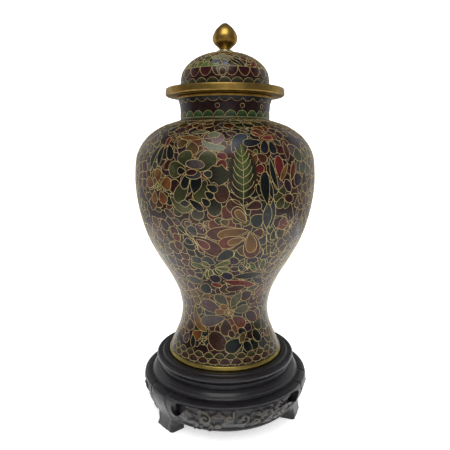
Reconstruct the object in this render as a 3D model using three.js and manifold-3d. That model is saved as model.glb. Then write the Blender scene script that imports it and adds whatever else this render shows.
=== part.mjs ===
// A lidded cloisonne baluster vase on a carved hardwood stand, in millimetres, +Z up.
// The origin is on the floor at the middle of the stand, and -Y is the front.
// The vase stands loose in the stand's recess, and the lid stands loose in the vase's mouth.
import * as THREE from "three";
import { mergeVertices } from "three/addons/utils/BufferGeometryUtils.js";
import Module from "manifold-3d";

const wasm = await Module();
wasm.setup();

// ---- Driving dimensions ----
const SEGMENTS = 32; // round a turned piece, a multiple of four
const GAP = 0.3; // between pieces that touch or are glued

// Stand
const LEG_COUNT = 3;
const FIRST_LEG_DEG = -49.5; // from the front, positive towards +X
const APRON_TOP_Z = 33; // top of the legs and aprons, under the shoulder
const RAIL_BOTTOM_Z = 7.7; // clear height under the aprons
const STAND_SHOULDER_HEIGHT = 9; // up to the joint with the rim
const RIM_HEIGHT = 6.7; // from there to the highest lip of the stand
const RECESS_DEPTH = 1.5;
const RECESS_CLEARANCE = 0.6; // round the vase's foot
const TOP_PANEL_THICKNESS = 3;
const RIM_WALL = 9.2; // round the recess
const SHOULDER_RADIUS = 59.5; // where the shoulder meets the legs and aprons
const BULGE_RADIUS = 67.1; // widest part of the legs
const FOOT_RADIUS = 62; // outside of the legs on the floor
const RAIL_RADIUS = 57; // lower edge of the aprons
const STAND_BORE_RADIUS = 40;
const LEG_WIDTH = 20.6;
const LEG_INNER_RADIUS = 51;
const LEG_HEAD_RADIUS = 44; // inside of the leg's head, under the shoulder
const LEG_HEAD_HEIGHT = 16;
const APRON_WALL = 6.5;
const DOWEL_RADIUS = 2.5;
const DOWEL_AXIS_RADIUS = 49;
const DOWEL_UP = 5.5; // into the shoulder
const DOWEL_DOWN = 9; // into the leg
const TONGUE_RADIUS = 1.7;
const TONGUE_DEPTH = 5;
const TONGUE_Z = 12.6;
const TONGUE_AXIS_RADIUS = 57.4;
const CUT_OVERLAP_DEG = 4; // of the two cuts that part an apron from the full ring

// Vase
const VASE_FOOT_RADIUS = 45.7;
const FOOT_RING_HEIGHT = 4.8;
const FOOT_RING_WALL = 4.5;
const BASE_PLATE_THICKNESS = 1.2;
const BASE_PLATE_LIFT = 2.4; // from the vase's foot to the plate's underside
const WAIST_RADIUS = 34.4;
const WAIST_HEIGHT = 35.3; // from here down, heights are measured from the vase's foot
const BELLY_RADIUS = 68.6;
const BELLY_HEIGHT = 144.5;
const SHOULDER_RISE = 42.8; // of the shoulder curve above the belly
const SHOULDER_POWER = 2.5; // of the superellipse that the shoulder follows
const NECK_RADIUS = 33.7;
const LIP_FLARE = 1.7; // how far the neck spreads at its top
const LIP_FLARE_HEIGHT = 6.5;
const NECK_HEIGHT = 11.9; // above the shoulder curve
const MOUTH_RING_HEIGHT = 1.8;
const MOUTH_RING_PROUD = 0.6; // of the lip

// Wall layers, from the outside in
const ENAMEL = 0.9;
const COPPER = 1.1;
const LINING = 0.5;
const WALL = ENAMEL + COPPER + LINING;
const BOND = 0.02; // between one layer and the next

// Lid
const FLANGE_RADIUS = 44.8;
const FLANGE_THICKNESS = 5.8;
const SPIGOT_CLEARANCE = 0.6; // in the mouth, all round
const SPIGOT_WALL = 1.5;
const SPIGOT_DEPTH = 9;
const DOME_RADIUS = 33.2;
const DOME_WALL_HEIGHT = 5.7; // upright part of the dome
const DOME_RISE = 21.2; // of the elliptical part
const DOME_LAND_RADIUS = 6.5; // flat land under the finial
const COLLAR_RADIUS = 6.2;
const COLLAR_HEIGHT = 1.2;
const FINIAL_RADIUS = 9.3;
const FINIAL_NECK_RADIUS = 3.9;
const FINIAL_HEIGHT = 20.4;
const STUD_RADIUS = 1.6;
const STUD_BURIED = 8; // in the finial
const NUT_ACROSS = 7.4;
const NUT_HEIGHT = 2.6;

// ---- Places worked out from them ----
const SHOULDER_TOP_Z = APRON_TOP_Z + STAND_SHOULDER_HEIGHT;
const RIM_TOP_Z = SHOULDER_TOP_Z + RIM_HEIGHT;
const RECESS_RADIUS = VASE_FOOT_RADIUS + RECESS_CLEARANCE;
const RIM_RADIUS = RECESS_RADIUS + RIM_WALL;
const NECK_TOP_HEIGHT = BELLY_HEIGHT + SHOULDER_RISE + NECK_HEIGHT;
const VASE_Z = RIM_TOP_Z - RECESS_DEPTH; // the vase's foot stands on the recess floor
const LIP_RADIUS = NECK_RADIUS + LIP_FLARE;
const MOUTH_Z = VASE_Z + NECK_TOP_HEIGHT + MOUTH_RING_HEIGHT;
const FLANGE_Z = MOUTH_Z + GAP;
const DOME_Z = FLANGE_Z + FLANGE_THICKNESS;
const LAND_Z = DOME_Z + DOME_WALL_HEIGHT
  + DOME_RISE * Math.sqrt(1 - (DOME_LAND_RADIUS / DOME_RADIUS) ** 2);
const FINIAL_Z = LAND_Z + COLLAR_HEIGHT;

// ---- Finishes ----
const finish = (color, roughness, metalness) =>
  new THREE.MeshStandardMaterial({ color, roughness, metalness });
const BRASS = finish(0x9a7d35, 0.35, 1);
const COPPER_METAL = finish(0xa6603c, 0.45, 1);
const STEEL = finish(0x8c8f92, 0.4, 1);
const ENAMEL_GLASS = finish(0x3a1c16, 0.12, 0);
const LINING_GLASS = finish(0x2f7f86, 0.25, 0);
const HARDWOOD = finish(0x1d1a1b, 0.4, 0);
const DOWEL_WOOD = finish(0x7a5a3a, 0.7, 0);

// ---- Helpers ----
const vase = new THREE.Group();
const pt = (radius, z) => new THREE.Vector2(radius, z);

function addPiece(name, geometry, material) {
  const mesh = new THREE.Mesh(geometry, material);
  mesh.name = name;
  vase.add(mesh);
}

// A turned solid: the outline is a list of (radius, z) points that closes on itself.
function turned(outline, segments = SEGMENTS) {
  const closed = outline.concat(outline[0].clone());
  const counterClockwise = THREE.ShapeUtils.area(outline) > 0;
  if (!counterClockwise) closed.reverse();
  return new THREE.LatheGeometry(closed, segments).rotateX(Math.PI / 2);
}

// A turned solid without a bore: the outline runs from the axis at the bottom to the axis at the top.
function turnedFull(outline, segments = SEGMENTS) {
  return new THREE.LatheGeometry(outline, segments).rotateX(Math.PI / 2);
}

function toSolid(geometry) {
  const bare = geometry.index ? geometry.toNonIndexed() : geometry.clone();
  bare.deleteAttribute("normal");
  bare.deleteAttribute("uv");
  const merged = mergeVertices(bare, 1e-4);
  return new wasm.Manifold(new wasm.Mesh({
    numProp: 3,
    vertProperties: merged.attributes.position.array,
    triVerts: new Uint32Array(merged.index.array),
  }));
}

function toGeometry(solid) {
  const { vertProperties, triVerts } = solid.getMesh();
  const geometry = new THREE.BufferGeometry();
  geometry.setAttribute("position", new THREE.BufferAttribute(vertProperties, 3));
  geometry.setIndex(new THREE.BufferAttribute(triVerts, 1));
  return geometry.toNonIndexed();
}

// Turns a piece drawn at the front (-Y) to an angle from the front, positive towards +X.
const atAngle = (geometry, degrees) => geometry.rotateZ(THREE.MathUtils.degToRad(degrees));

// A rod along +Y through the origin, centred there.
const rod = (radius, length, sides = 12) => new THREE.CylinderGeometry(radius, radius, length, sides);
const uprightRod = (radius, z0, z1, sides = 12) =>
  rod(radius, z1 - z0, sides).rotateX(Math.PI / 2).translate(0, 0, (z0 + z1) / 2);

// ---- Walls of the vase and the lid ----
// The outer line of a wall and the lines parallel to it, at the depths of its layers.
function parallelLine(line, depth) {
  return line.map((point, i) => {
    const before = line[Math.max(i - 1, 0)];
    const after = line[Math.min(i + 1, line.length - 1)];
    const along = after.clone().sub(before).normalize();
    const atEnd = i === 0 || i === line.length - 1;
    const inward = atEnd ? pt(-1, 0) : pt(-along.y, along.x);
    return point.clone().addScaledVector(inward, depth);
  });
}

// One layer of a wall, between two depths below its outer line.
function layer(outer, inner) {
  return turned(outer.concat(inner.slice().reverse()));
}

const FLARE_STEPS = 3; // along the line, from the foot to the waist
const SWELL_STEPS = 6; // from the waist to the belly
const SHOULDER_STEPS = 4; // from the belly to the neck
const WAIST_INDEX = FLARE_STEPS;
const SWELL_INDEX = WAIST_INDEX + SWELL_STEPS / 2; // where the line turns from hollow to full
const NECK_INDEX = WAIST_INDEX + SWELL_STEPS + SHOULDER_STEPS;

function bodyLine() {
  const foot = pt(VASE_FOOT_RADIUS - 1.1, FOOT_RING_HEIGHT);
  const waist = pt(WAIST_RADIUS, WAIST_HEIGHT);
  const belly = pt(BELLY_RADIUS, BELLY_HEIGHT);
  const flareHeight = WAIST_HEIGHT - FOOT_RING_HEIGHT;
  const flare = new THREE.CubicBezierCurve(
    foot,
    pt(foot.x - (foot.x - WAIST_RADIUS) * 0.4, foot.y + flareHeight * 0.33),
    pt(WAIST_RADIUS, foot.y + flareHeight * 0.66),
    waist,
  );
  const rise = BELLY_HEIGHT - WAIST_HEIGHT;
  const swell = new THREE.CubicBezierCurve(
    waist,
    pt(WAIST_RADIUS, WAIST_HEIGHT + rise * 0.347),
    pt(BELLY_RADIUS, BELLY_HEIGHT - rise * 0.592),
    belly,
  );
  const line = flare.getPoints(FLARE_STEPS).concat(swell.getPoints(SWELL_STEPS).slice(1));
  const neckAngle = Math.acos((NECK_RADIUS / BELLY_RADIUS) ** (SHOULDER_POWER / 2));
  for (let i = 1; i <= SHOULDER_STEPS; i++) {
    const angle = neckAngle * (i / SHOULDER_STEPS);
    line.push(pt(
      BELLY_RADIUS * Math.cos(angle) ** (2 / SHOULDER_POWER),
      BELLY_HEIGHT + SHOULDER_RISE * Math.sin(angle) ** (2 / SHOULDER_POWER),
    ));
  }
  line.push(
    pt(NECK_RADIUS + 0.1 * LIP_FLARE, NECK_TOP_HEIGHT - LIP_FLARE_HEIGHT),
    pt(NECK_RADIUS + 0.4 * LIP_FLARE, NECK_TOP_HEIGHT - 0.45 * LIP_FLARE_HEIGHT),
    pt(LIP_RADIUS, NECK_TOP_HEIGHT),
  );
  line.forEach((point) => { point.y += VASE_Z; });
  return line;
}

function domeLine() {
  const line = [pt(DOME_RADIUS, DOME_Z)];
  const landAngle = Math.acos(DOME_LAND_RADIUS / DOME_RADIUS);
  const steps = 4;
  for (let i = 0; i <= steps; i++) {
    const angle = landAngle * (i / steps);
    line.push(pt(
      DOME_RADIUS * Math.cos(angle),
      DOME_Z + DOME_WALL_HEIGHT + DOME_RISE * Math.sin(angle),
    ));
  }
  return line;
}

const bodyOuter = bodyLine();
const enamelInner = parallelLine(bodyOuter, ENAMEL - BOND);
const copperOuter = parallelLine(bodyOuter, ENAMEL);
const copperInner = parallelLine(bodyOuter, ENAMEL + COPPER - BOND);
const liningOuter = parallelLine(bodyOuter, ENAMEL + COPPER);
const bodyInner = parallelLine(bodyOuter, WALL);

// ---- Vase ----
function addVase() {
  const footRadius = VASE_FOOT_RADIUS;
  const footTop = VASE_Z + FOOT_RING_HEIGHT;
  const footInner = footRadius - FOOT_RING_WALL;
  addPiece("foot_ring", turned([
    pt(footInner, VASE_Z),
    pt(footRadius - 0.8, VASE_Z),
    pt(footRadius, VASE_Z + 1.2),
    pt(footRadius, footTop - 1.2),
    pt(footRadius - 0.7, footTop),
    pt(footInner, footTop),
  ]), BRASS);

  const plateZ = VASE_Z + BASE_PLATE_LIFT;
  addPiece("base_plate", turnedFull([
    pt(0, plateZ),
    pt(footInner, plateZ),
    pt(footInner, plateZ + BASE_PLATE_THICKNESS),
    pt(0, plateZ + BASE_PLATE_THICKNESS),
  ]), COPPER_METAL);

  const zone = (outer, inner, from, to) => layer(outer.slice(from, to + 1), inner.slice(from, to + 1));
  const end = bodyOuter.length - 1;
  const enamels = [
    ["foot_enamel", 0, WAIST_INDEX],
    ["waist_enamel", WAIST_INDEX, SWELL_INDEX],
    ["belly_enamel", SWELL_INDEX, NECK_INDEX],
    ["neck_enamel", NECK_INDEX, end],
  ];
  for (const [name, from, to] of enamels) {
    addPiece(name, zone(bodyOuter, enamelInner, from, to), ENAMEL_GLASS);
  }
  const shells = [
    ["lower_shell", 0, WAIST_INDEX],
    ["upper_shell", WAIST_INDEX, NECK_INDEX],
    ["neck_shell", NECK_INDEX, end],
  ];
  for (const [name, from, to] of shells) {
    addPiece(name, zone(copperOuter, copperInner, from, to), COPPER_METAL);
  }
  addPiece("body_lining", layer(liningOuter, bodyInner), LINING_GLASS);

  const ringZ = MOUTH_Z - MOUTH_RING_HEIGHT;
  const ringRadius = LIP_RADIUS + MOUTH_RING_PROUD;
  addPiece("mouth_ring", turned([
    pt(LIP_RADIUS - WALL, ringZ),
    pt(LIP_RADIUS, ringZ),
    pt(ringRadius, ringZ + 0.3 * MOUTH_RING_HEIGHT),
    pt(ringRadius, MOUTH_Z - 0.3 * MOUTH_RING_HEIGHT),
    pt(LIP_RADIUS, MOUTH_Z),
    pt(LIP_RADIUS - WALL, MOUTH_Z),
  ]), BRASS);
}

// ---- Lid ----
function addLid() {
  const spigotOuter = NECK_RADIUS - WALL - SPIGOT_CLEARANCE;
  const spigotInner = spigotOuter - SPIGOT_WALL;
  addPiece("lid_spigot", turned([
    pt(spigotInner, FLANGE_Z - SPIGOT_DEPTH),
    pt(spigotOuter - 0.5, FLANGE_Z - SPIGOT_DEPTH),
    pt(spigotOuter, FLANGE_Z - SPIGOT_DEPTH + 1.5),
    pt(spigotOuter, FLANGE_Z),
    pt(spigotInner, FLANGE_Z),
  ]), BRASS);

  addPiece("lid_flange", turned([
    pt(spigotInner, FLANGE_Z),
    pt(FLANGE_RADIUS - 1.2, FLANGE_Z),
    pt(FLANGE_RADIUS, FLANGE_Z + 1),
    pt(FLANGE_RADIUS, DOME_Z - 1),
    pt(FLANGE_RADIUS - 1.2, DOME_Z),
    pt(spigotInner, DOME_Z),
  ]), BRASS);

  // The layers of the dome stop at the stud's hole, with a level top under the finial.
  const outer = domeLine();
  const holeRadius = STUD_RADIUS + GAP;
  const depths = [0, ENAMEL - BOND, ENAMEL, ENAMEL + COPPER - BOND, ENAMEL + COPPER, WALL];
  const lines = depths.map((depth) => outer.map((point) => {
    const wallTop = DOME_Z + DOME_WALL_HEIGHT;
    const scale = (DOME_RADIUS - depth) / DOME_RADIUS;
    const rise = (DOME_RISE - depth) / DOME_RISE;
    const z = point.y > wallTop ? wallTop + (point.y - wallTop) * rise : point.y;
    return pt(point.x * scale, z);
  }));
  lines.forEach((line) => line.push(pt(holeRadius, line.at(-1).y)));
  addPiece("lid_enamel", layer(lines[0], lines[1]), ENAMEL_GLASS);
  addPiece("lid_shell", layer(lines[2], lines[3]), COPPER_METAL);
  addPiece("lid_lining", layer(lines[4], lines[5]), LINING_GLASS);
  const nutTop = lines[5].at(-1).y; // the nut bears on the lining

  addPiece("finial_collar", turned([
    pt(holeRadius, LAND_Z),
    pt(COLLAR_RADIUS, LAND_Z),
    pt(COLLAR_RADIUS, LAND_Z + 0.5),
    pt(COLLAR_RADIUS - 0.8, FINIAL_Z),
    pt(holeRadius, FINIAL_Z),
  ]), BRASS);

  // A pointed bud with a socket for the stud.
  const socketRadius = STUD_RADIUS + GAP;
  const socketTop = FINIAL_Z + STUD_BURIED + GAP;
  const bud = new THREE.SplineCurve([
    pt(FINIAL_NECK_RADIUS, FINIAL_Z),
    pt(FINIAL_NECK_RADIUS * 1.1, FINIAL_Z + 0.09 * FINIAL_HEIGHT),
    pt(FINIAL_RADIUS * 0.82, FINIAL_Z + 0.23 * FINIAL_HEIGHT),
    pt(FINIAL_RADIUS, FINIAL_Z + 0.4 * FINIAL_HEIGHT),
    pt(FINIAL_RADIUS * 0.93, FINIAL_Z + 0.56 * FINIAL_HEIGHT),
    pt(FINIAL_RADIUS * 0.69, FINIAL_Z + 0.75 * FINIAL_HEIGHT),
    pt(FINIAL_RADIUS * 0.28, FINIAL_Z + 0.92 * FINIAL_HEIGHT),
    pt(0, FINIAL_Z + FINIAL_HEIGHT),
  ]);
  addPiece("lid_finial", turnedFull([
    pt(0, socketTop),
    pt(socketRadius, socketTop),
    pt(socketRadius, FINIAL_Z),
    ...bud.getPoints(10),
  ], 20), BRASS);

  addPiece("finial_stud", uprightRod(STUD_RADIUS, nutTop - NUT_HEIGHT - 1.5, FINIAL_Z + STUD_BURIED), STEEL);
  addPiece("finial_nut", toGeometry(
    toSolid(uprightRod(NUT_ACROSS / Math.sqrt(3), nutTop - NUT_HEIGHT, nutTop, 6))
      .subtract(toSolid(uprightRod(STUD_RADIUS + GAP / 2, nutTop - NUT_HEIGHT - 1, nutTop + 1))),
  ), BRASS);
}

// ---- Stand ----
const legAngle = (i) => FIRST_LEG_DEG + (i * 360) / LEG_COUNT;

// The outside of the carved frame, from the shoulder down to a lower edge.
function bulgeLine(bulge, lowRadius, lowZ) {
  const drop = APRON_TOP_Z - lowZ;
  return new THREE.SplineCurve([
    pt(bulge - 2.7, APRON_TOP_Z - 0.4),
    pt(bulge - 0.6, APRON_TOP_Z - 2.2),
    pt(bulge, APRON_TOP_Z - 4.7),
    pt(bulge - 0.6, APRON_TOP_Z - 0.4 * drop),
    pt(bulge - 3, APRON_TOP_Z - 0.66 * drop),
    pt(lowRadius, lowZ),
  ]).getPoints(7);
}

// A slab with its two faces parallel to the leg's sides, reaching out from the axis to the front.
const slab = (width, z0, z1) =>
  new THREE.BoxGeometry(width, 100, z1 - z0).translate(0, -50, (z0 + z1) / 2);

function legSolid() {
  const ankleZ = RAIL_BOTTOM_Z + 2.5;
  const ankle = FOOT_RADIUS - 1.2;
  const section = [
    pt(LEG_HEAD_RADIUS, APRON_TOP_Z),
    pt(LEG_HEAD_RADIUS, APRON_TOP_Z - LEG_HEAD_HEIGHT + 4),
    pt(LEG_INNER_RADIUS, APRON_TOP_Z - LEG_HEAD_HEIGHT - 4),
    pt(LEG_INNER_RADIUS, 0),
    pt(FOOT_RADIUS, 0),
    pt(ankle, 0.55 * ankleZ),
    ...bulgeLine(BULGE_RADIUS, ankle, ankleZ).reverse(),
    pt(SHOULDER_RADIUS + 1, APRON_TOP_Z),
  ];
  return toSolid(turned(section, 96)).intersect(toSolid(slab(LEG_WIDTH, -1, APRON_TOP_Z + 1)));
}

const dowel = (radius, extra) => uprightRod(
  radius, APRON_TOP_Z - DOWEL_DOWN - extra, APRON_TOP_Z + DOWEL_UP + extra,
).translate(0, -DOWEL_AXIS_RADIUS, 0);

// The two rods that tie a leg to its neighbours, side = -1 or 1.
const tongue = (radius, extra, side) => rod(radius, 2 * (TONGUE_DEPTH + extra), 10)
  .rotateZ(Math.PI / 2)
  .translate((side * LEG_WIDTH) / 2, -TONGUE_AXIS_RADIUS, TONGUE_Z);

// A hole through the apron: a rounded outline in the plane of the front, pushed through the wall.
function piercing(outline) {
  const shape = new THREE.Shape(outline.getPoints(5));
  return toSolid(new THREE.ExtrudeGeometry(shape, { depth: 40, bevelEnabled: false })
    .rotateX(Math.PI / 2)
    .translate(0, -35, 0));
}

function apronSolid() {
  const outer = bulgeLine(BULGE_RADIUS - 0.4, RAIL_RADIUS, RAIL_BOTTOM_Z).reverse();
  const section = [
    pt(SHOULDER_RADIUS - 2.5, APRON_TOP_Z),
    pt(BULGE_RADIUS - APRON_WALL - 1, APRON_TOP_Z - 5),
    pt(BULGE_RADIUS - APRON_WALL - 2.2, APRON_TOP_Z - 13),
    pt(RAIL_RADIUS - APRON_WALL + 1.5, RAIL_BOTTOM_Z + 5),
    pt(RAIL_RADIUS - APRON_WALL + 1.5, RAIL_BOTTOM_Z),
    ...outer,
    pt(SHOULDER_RADIUS + 1, APRON_TOP_Z),
  ];
  const half = 180 / LEG_COUNT;
  let solid = toSolid(turned(section, 60));
  // The neighbouring legs' room, and everything past them, is cut away. The two cuts overlap at the back.
  const reach = 2 * BULGE_RADIUS;
  const sweep = 180 + CUT_OVERLAP_DEG - half;
  for (const side of [-1, 1]) {
    const corners = [0, 0.25, 0.5, 0.75, 1].map((share) => {
      const angle = THREE.MathUtils.degToRad(side * (half + share * sweep));
      return pt(reach * Math.sin(angle), -reach * Math.cos(angle));
    });
    const sector = new THREE.ExtrudeGeometry(
      new THREE.Shape([pt(0, 0), ...corners]),
      { depth: APRON_TOP_Z + 2, bevelEnabled: false },
    ).translate(0, 0, -1);
    const legRoom = atAngle(slab(LEG_WIDTH + 2 * GAP, -1, APRON_TOP_Z + 1), side * half);
    solid = solid.subtract(toSolid(sector)).subtract(toSolid(legRoom));
  }
  const nearLeg = THREE.MathUtils.radToDeg(Math.asin(LEG_WIDTH / 2 / BULGE_RADIUS)) + 2.2;
  const leftHole = new THREE.Path()
    .moveTo(-5, APRON_TOP_Z - 8)
    .quadraticCurveTo(-5, APRON_TOP_Z - 3.2, 5.5, APRON_TOP_Z - 3.2)
    .quadraticCurveTo(1, APRON_TOP_Z - 9, -3, APRON_TOP_Z - 13.5)
    .quadraticCurveTo(-5, APRON_TOP_Z - 11, -5, APRON_TOP_Z - 8);
  const rightHole = new THREE.Path()
    .moveTo(-9, APRON_TOP_Z - 8)
    .quadraticCurveTo(-4, APRON_TOP_Z - 3, 5, APRON_TOP_Z - 3.2)
    .quadraticCurveTo(7, APRON_TOP_Z - 9, 4.5, APRON_TOP_Z - 15)
    .quadraticCurveTo(0, APRON_TOP_Z - 9, -9, APRON_TOP_Z - 8);
  solid = solid.subtract(piercing(leftHole).rotate([0, 0, -half + nearLeg + 3.6]));
  return solid.subtract(piercing(rightHole).rotate([0, 0, half - nearLeg - 5.5]));
}

function addStand() {
  const panelZ = VASE_Z - TOP_PANEL_THICKNESS;
  const rabbetRadius = RECESS_RADIUS - 3.5;
  addPiece("stand_rim", turned([
    pt(rabbetRadius, SHOULDER_TOP_Z),
    pt(RIM_RADIUS - 3, SHOULDER_TOP_Z),
    pt(RIM_RADIUS - 2.4, SHOULDER_TOP_Z + 1),
    pt(RIM_RADIUS - 0.4, SHOULDER_TOP_Z + 2),
    pt(RIM_RADIUS + 0.2, SHOULDER_TOP_Z + 3.6),
    pt(RIM_RADIUS, RIM_TOP_Z - 1.2),
    pt(RIM_RADIUS - 0.8, RIM_TOP_Z - 0.8),
    pt(RIM_RADIUS - 4.6, RIM_TOP_Z - 0.8),
    pt(RIM_RADIUS - 5.4, RIM_TOP_Z),
    pt(RECESS_RADIUS, RIM_TOP_Z),
    pt(RECESS_RADIUS, panelZ),
    pt(rabbetRadius, panelZ),
  ]), HARDWOOD);

  addPiece("stand_panel", turnedFull([
    pt(0, panelZ),
    pt(RECESS_RADIUS - GAP, panelZ),
    pt(RECESS_RADIUS - GAP, VASE_Z),
    pt(0, VASE_Z),
  ]), HARDWOOD);

  const shoulder = toSolid(turned([
    pt(STAND_BORE_RADIUS, APRON_TOP_Z),
    pt(SHOULDER_RADIUS, APRON_TOP_Z),
    pt(SHOULDER_RADIUS - 0.6, APRON_TOP_Z + 2),
    pt(SHOULDER_RADIUS - 2.4, APRON_TOP_Z + 4.2),
    pt(SHOULDER_RADIUS - 5.2, APRON_TOP_Z + 5.8),
    pt(SHOULDER_RADIUS - 7.2, APRON_TOP_Z + 7),
    pt(RIM_RADIUS - 3.4, SHOULDER_TOP_Z),
    pt(STAND_BORE_RADIUS, SHOULDER_TOP_Z),
  ]));

  let ring = shoulder;
  const leg = [-1, 1].reduce(
    (solid, side) => solid.subtract(toSolid(tongue(TONGUE_RADIUS + GAP, GAP, side))),
    legSolid().subtract(toSolid(dowel(DOWEL_RADIUS + GAP, GAP))),
  );
  const apronPlain = apronSolid();
  const halfTurn = 180 / LEG_COUNT;
  const apron = [-1, 1].reduce(
    (solid, side) => solid.subtract(toSolid(
      atAngle(tongue(TONGUE_RADIUS + GAP, GAP, -side), side * halfTurn),
    )),
    apronPlain,
  );
  for (let i = 0; i < LEG_COUNT; i++) {
    const angle = legAngle(i);
    ring = ring.subtract(toSolid(atAngle(dowel(DOWEL_RADIUS + GAP, GAP), angle)));
    addPiece("leg_dowel_" + (i + 1), atAngle(dowel(DOWEL_RADIUS, 0), angle), DOWEL_WOOD);
    ["left", "right"].forEach((hand, k) => {
      const rodPiece = atAngle(tongue(TONGUE_RADIUS, 0, 2 * k - 1), angle);
      addPiece("apron_dowel_" + (i + 1) + "_" + hand, rodPiece, DOWEL_WOOD);
    });
    addPiece("stand_leg_" + (i + 1), atAngle(toGeometry(leg), angle), HARDWOOD);
    addPiece("stand_apron_" + (i + 1), atAngle(toGeometry(apron), angle + halfTurn), HARDWOOD);
  }
  addPiece("stand_shoulder", toGeometry(ring), HARDWOOD);
}

addStand();
addVase();
addLid();

export default vase;
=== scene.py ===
"""Looks of a lidded cloisonne baluster vase on a carved hardwood stand.

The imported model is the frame. The enamel, its wires, the brass fittings and the carved stand are made here as fine
pieces over their plain solids, and the inner parts keep their shapes and get their materials.
Azimuths are in degrees from the front (-Y), positive towards +X. Drawing sizes are in millimetres.
"""
import math
import random

import bmesh
import bpy
import numpy as np
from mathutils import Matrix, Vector
from mathutils.geometry import delaunay_2d_cdt


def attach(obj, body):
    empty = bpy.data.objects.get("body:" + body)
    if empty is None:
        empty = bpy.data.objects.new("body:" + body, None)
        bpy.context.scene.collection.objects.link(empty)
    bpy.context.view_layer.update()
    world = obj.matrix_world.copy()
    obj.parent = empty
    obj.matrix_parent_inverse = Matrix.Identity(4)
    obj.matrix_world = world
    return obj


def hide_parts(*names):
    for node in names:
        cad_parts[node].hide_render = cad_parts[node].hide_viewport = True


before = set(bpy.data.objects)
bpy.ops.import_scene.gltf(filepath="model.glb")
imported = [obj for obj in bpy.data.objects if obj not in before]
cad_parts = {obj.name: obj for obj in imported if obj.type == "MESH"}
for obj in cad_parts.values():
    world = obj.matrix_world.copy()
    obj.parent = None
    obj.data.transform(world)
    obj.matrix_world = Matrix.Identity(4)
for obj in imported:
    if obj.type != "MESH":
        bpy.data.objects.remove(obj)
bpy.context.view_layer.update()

bl_info = {
    "name": "Cloisonne vase",
    "version": (1, 0, 0),
    "blender": (4, 5, 0),
    "location": "View3D > Sidebar > Vase",
    "description": "Enamel, wires, brass fittings and carved stand of a lidded cloisonne vase",
    "category": "Object",
}

MM = 0.001
SEED = 7
CREASE = 0.85  # cosine of the turn from which a corner of a line stays sharp
DEPTH = 0.5  # how much light the pigments give back under their glass
RICHNESS = 1.18  # power that deepens the pigments' colours
MERGE = 0.002  # points nearer than this are one, in mm
WIRE_SEAT = 0.04  # how deep a wire's lower edges stand in the enamel, in mm
BODY_ENAMEL = ("foot_enamel", "waist_enamel", "belly_enamel", "neck_enamel")
LEGS = ("stand_leg_1", "stand_leg_2", "stand_leg_3")
APRONS = ("stand_apron_1", "stand_apron_2", "stand_apron_3")


# ---- Sizes read from the frame ----
class Turned:
    """The radii and heights in mm of a turned node."""

    def __init__(self, name):
        co = np.array([v.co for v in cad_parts[name].data.vertices]) / MM
        radius = np.hypot(co[:, 0], co[:, 1])
        self.inner, self.outer = float(radius.min()), float(radius.max())
        self.low, self.high = float(co[:, 2].min()), float(co[:, 2].max())


FOOT_RING = Turned("foot_ring")
MOUTH_RING = Turned("mouth_ring")
FLANGE = Turned("lid_flange")
COLLAR = Turned("finial_collar")
RIM = Turned("stand_rim")
SHOULDER = Turned("stand_shoulder")
LEG = Turned("stand_leg_1")
APRON = Turned("stand_apron_1")
PANEL = Turned("stand_panel")
TONGUE = Turned(next(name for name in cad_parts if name.startswith("apron_dowel")))


def leg_azimuth(name):
    """The azimuth of a leg's middle."""
    co = np.array([v.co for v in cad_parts[name].data.vertices])
    outer = co[np.hypot(co[:, 0], co[:, 1]) > (LEG.outer - 1) * MM]
    x, y = outer[:, 0].mean(), outer[:, 1].mean()
    return math.degrees(math.atan2(x, -y))


# ---- Smooth lines ----
def eased(t, span, start, end, slope, end_slope):
    """A place between two points, t of the way over the span, that keeps to the slopes at both."""
    return ((2 * t**3 - 3 * t**2 + 1) * start + (t**3 - 2 * t**2 + t) * span * slope
            + (3 * t**2 - 2 * t**3) * end + (t**3 - t**2) * span * end_slope)


class Line:
    """A smooth (radius, height) line in mm, read at a length along it from its lower end."""

    def __init__(self, points):
        self.points = np.array(points, float)
        steps = np.hypot(*np.diff(self.points, axis=0).T)
        self.s = np.r_[0, np.cumsum(steps)]
        self.slopes_in = np.gradient(self.points, self.s, axis=0)
        self.slopes_out = self.slopes_in.copy()
        along = np.diff(self.points, axis=0) / steps[:, None]
        for k in range(1, len(along)):
            if along[k] @ along[k - 1] < CREASE:
                self.slopes_in[k], self.slopes_out[k] = along[k - 1], along[k]
        self.length = float(self.s[-1])

    def at(self, s):
        """Points at the lengths s, as two rows: radius and height."""
        s = np.clip(np.asarray(s, float), 0, self.length)
        k = np.clip(np.searchsorted(self.s, s, side="right") - 1, 0, len(self.s) - 2)
        span = self.s[k + 1] - self.s[k]
        t = (s - self.s[k]) / span
        start = (2 * t**3 - 3 * t**2 + 1) * self.points[k].T + (t**3 - 2 * t**2 + t) * span * self.slopes_out[k].T
        end = (3 * t**2 - 2 * t**3) * self.points[k + 1].T + (t**3 - t**2) * span * self.slopes_in[k + 1].T
        return start + end

    def outward(self, s, step=0.4):
        """The outward direction at the lengths s, as two rows: radial and upward."""
        before = self.at(np.asarray(s, float) - step)
        after = self.at(np.asarray(s, float) + step)
        along = after - before
        along /= np.hypot(*along)
        return np.array([along[1], -along[0]])

    def wrap(self, azimuth, s, lift=0.0):
        """Points on the turned surface in metres, lifted along its normal, and the normals there."""
        radius, height = self.at(s)
        radial, up = self.outward(s)
        a = np.radians(azimuth)
        across = np.array([np.sin(a), -np.cos(a)])
        r = (radius + lift * radial) * MM
        points = np.array([r * across[0], r * across[1], (height + lift * up) * MM]).T
        return points, np.array([radial * across[0], radial * across[1], up * np.ones_like(a)]).T


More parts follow.
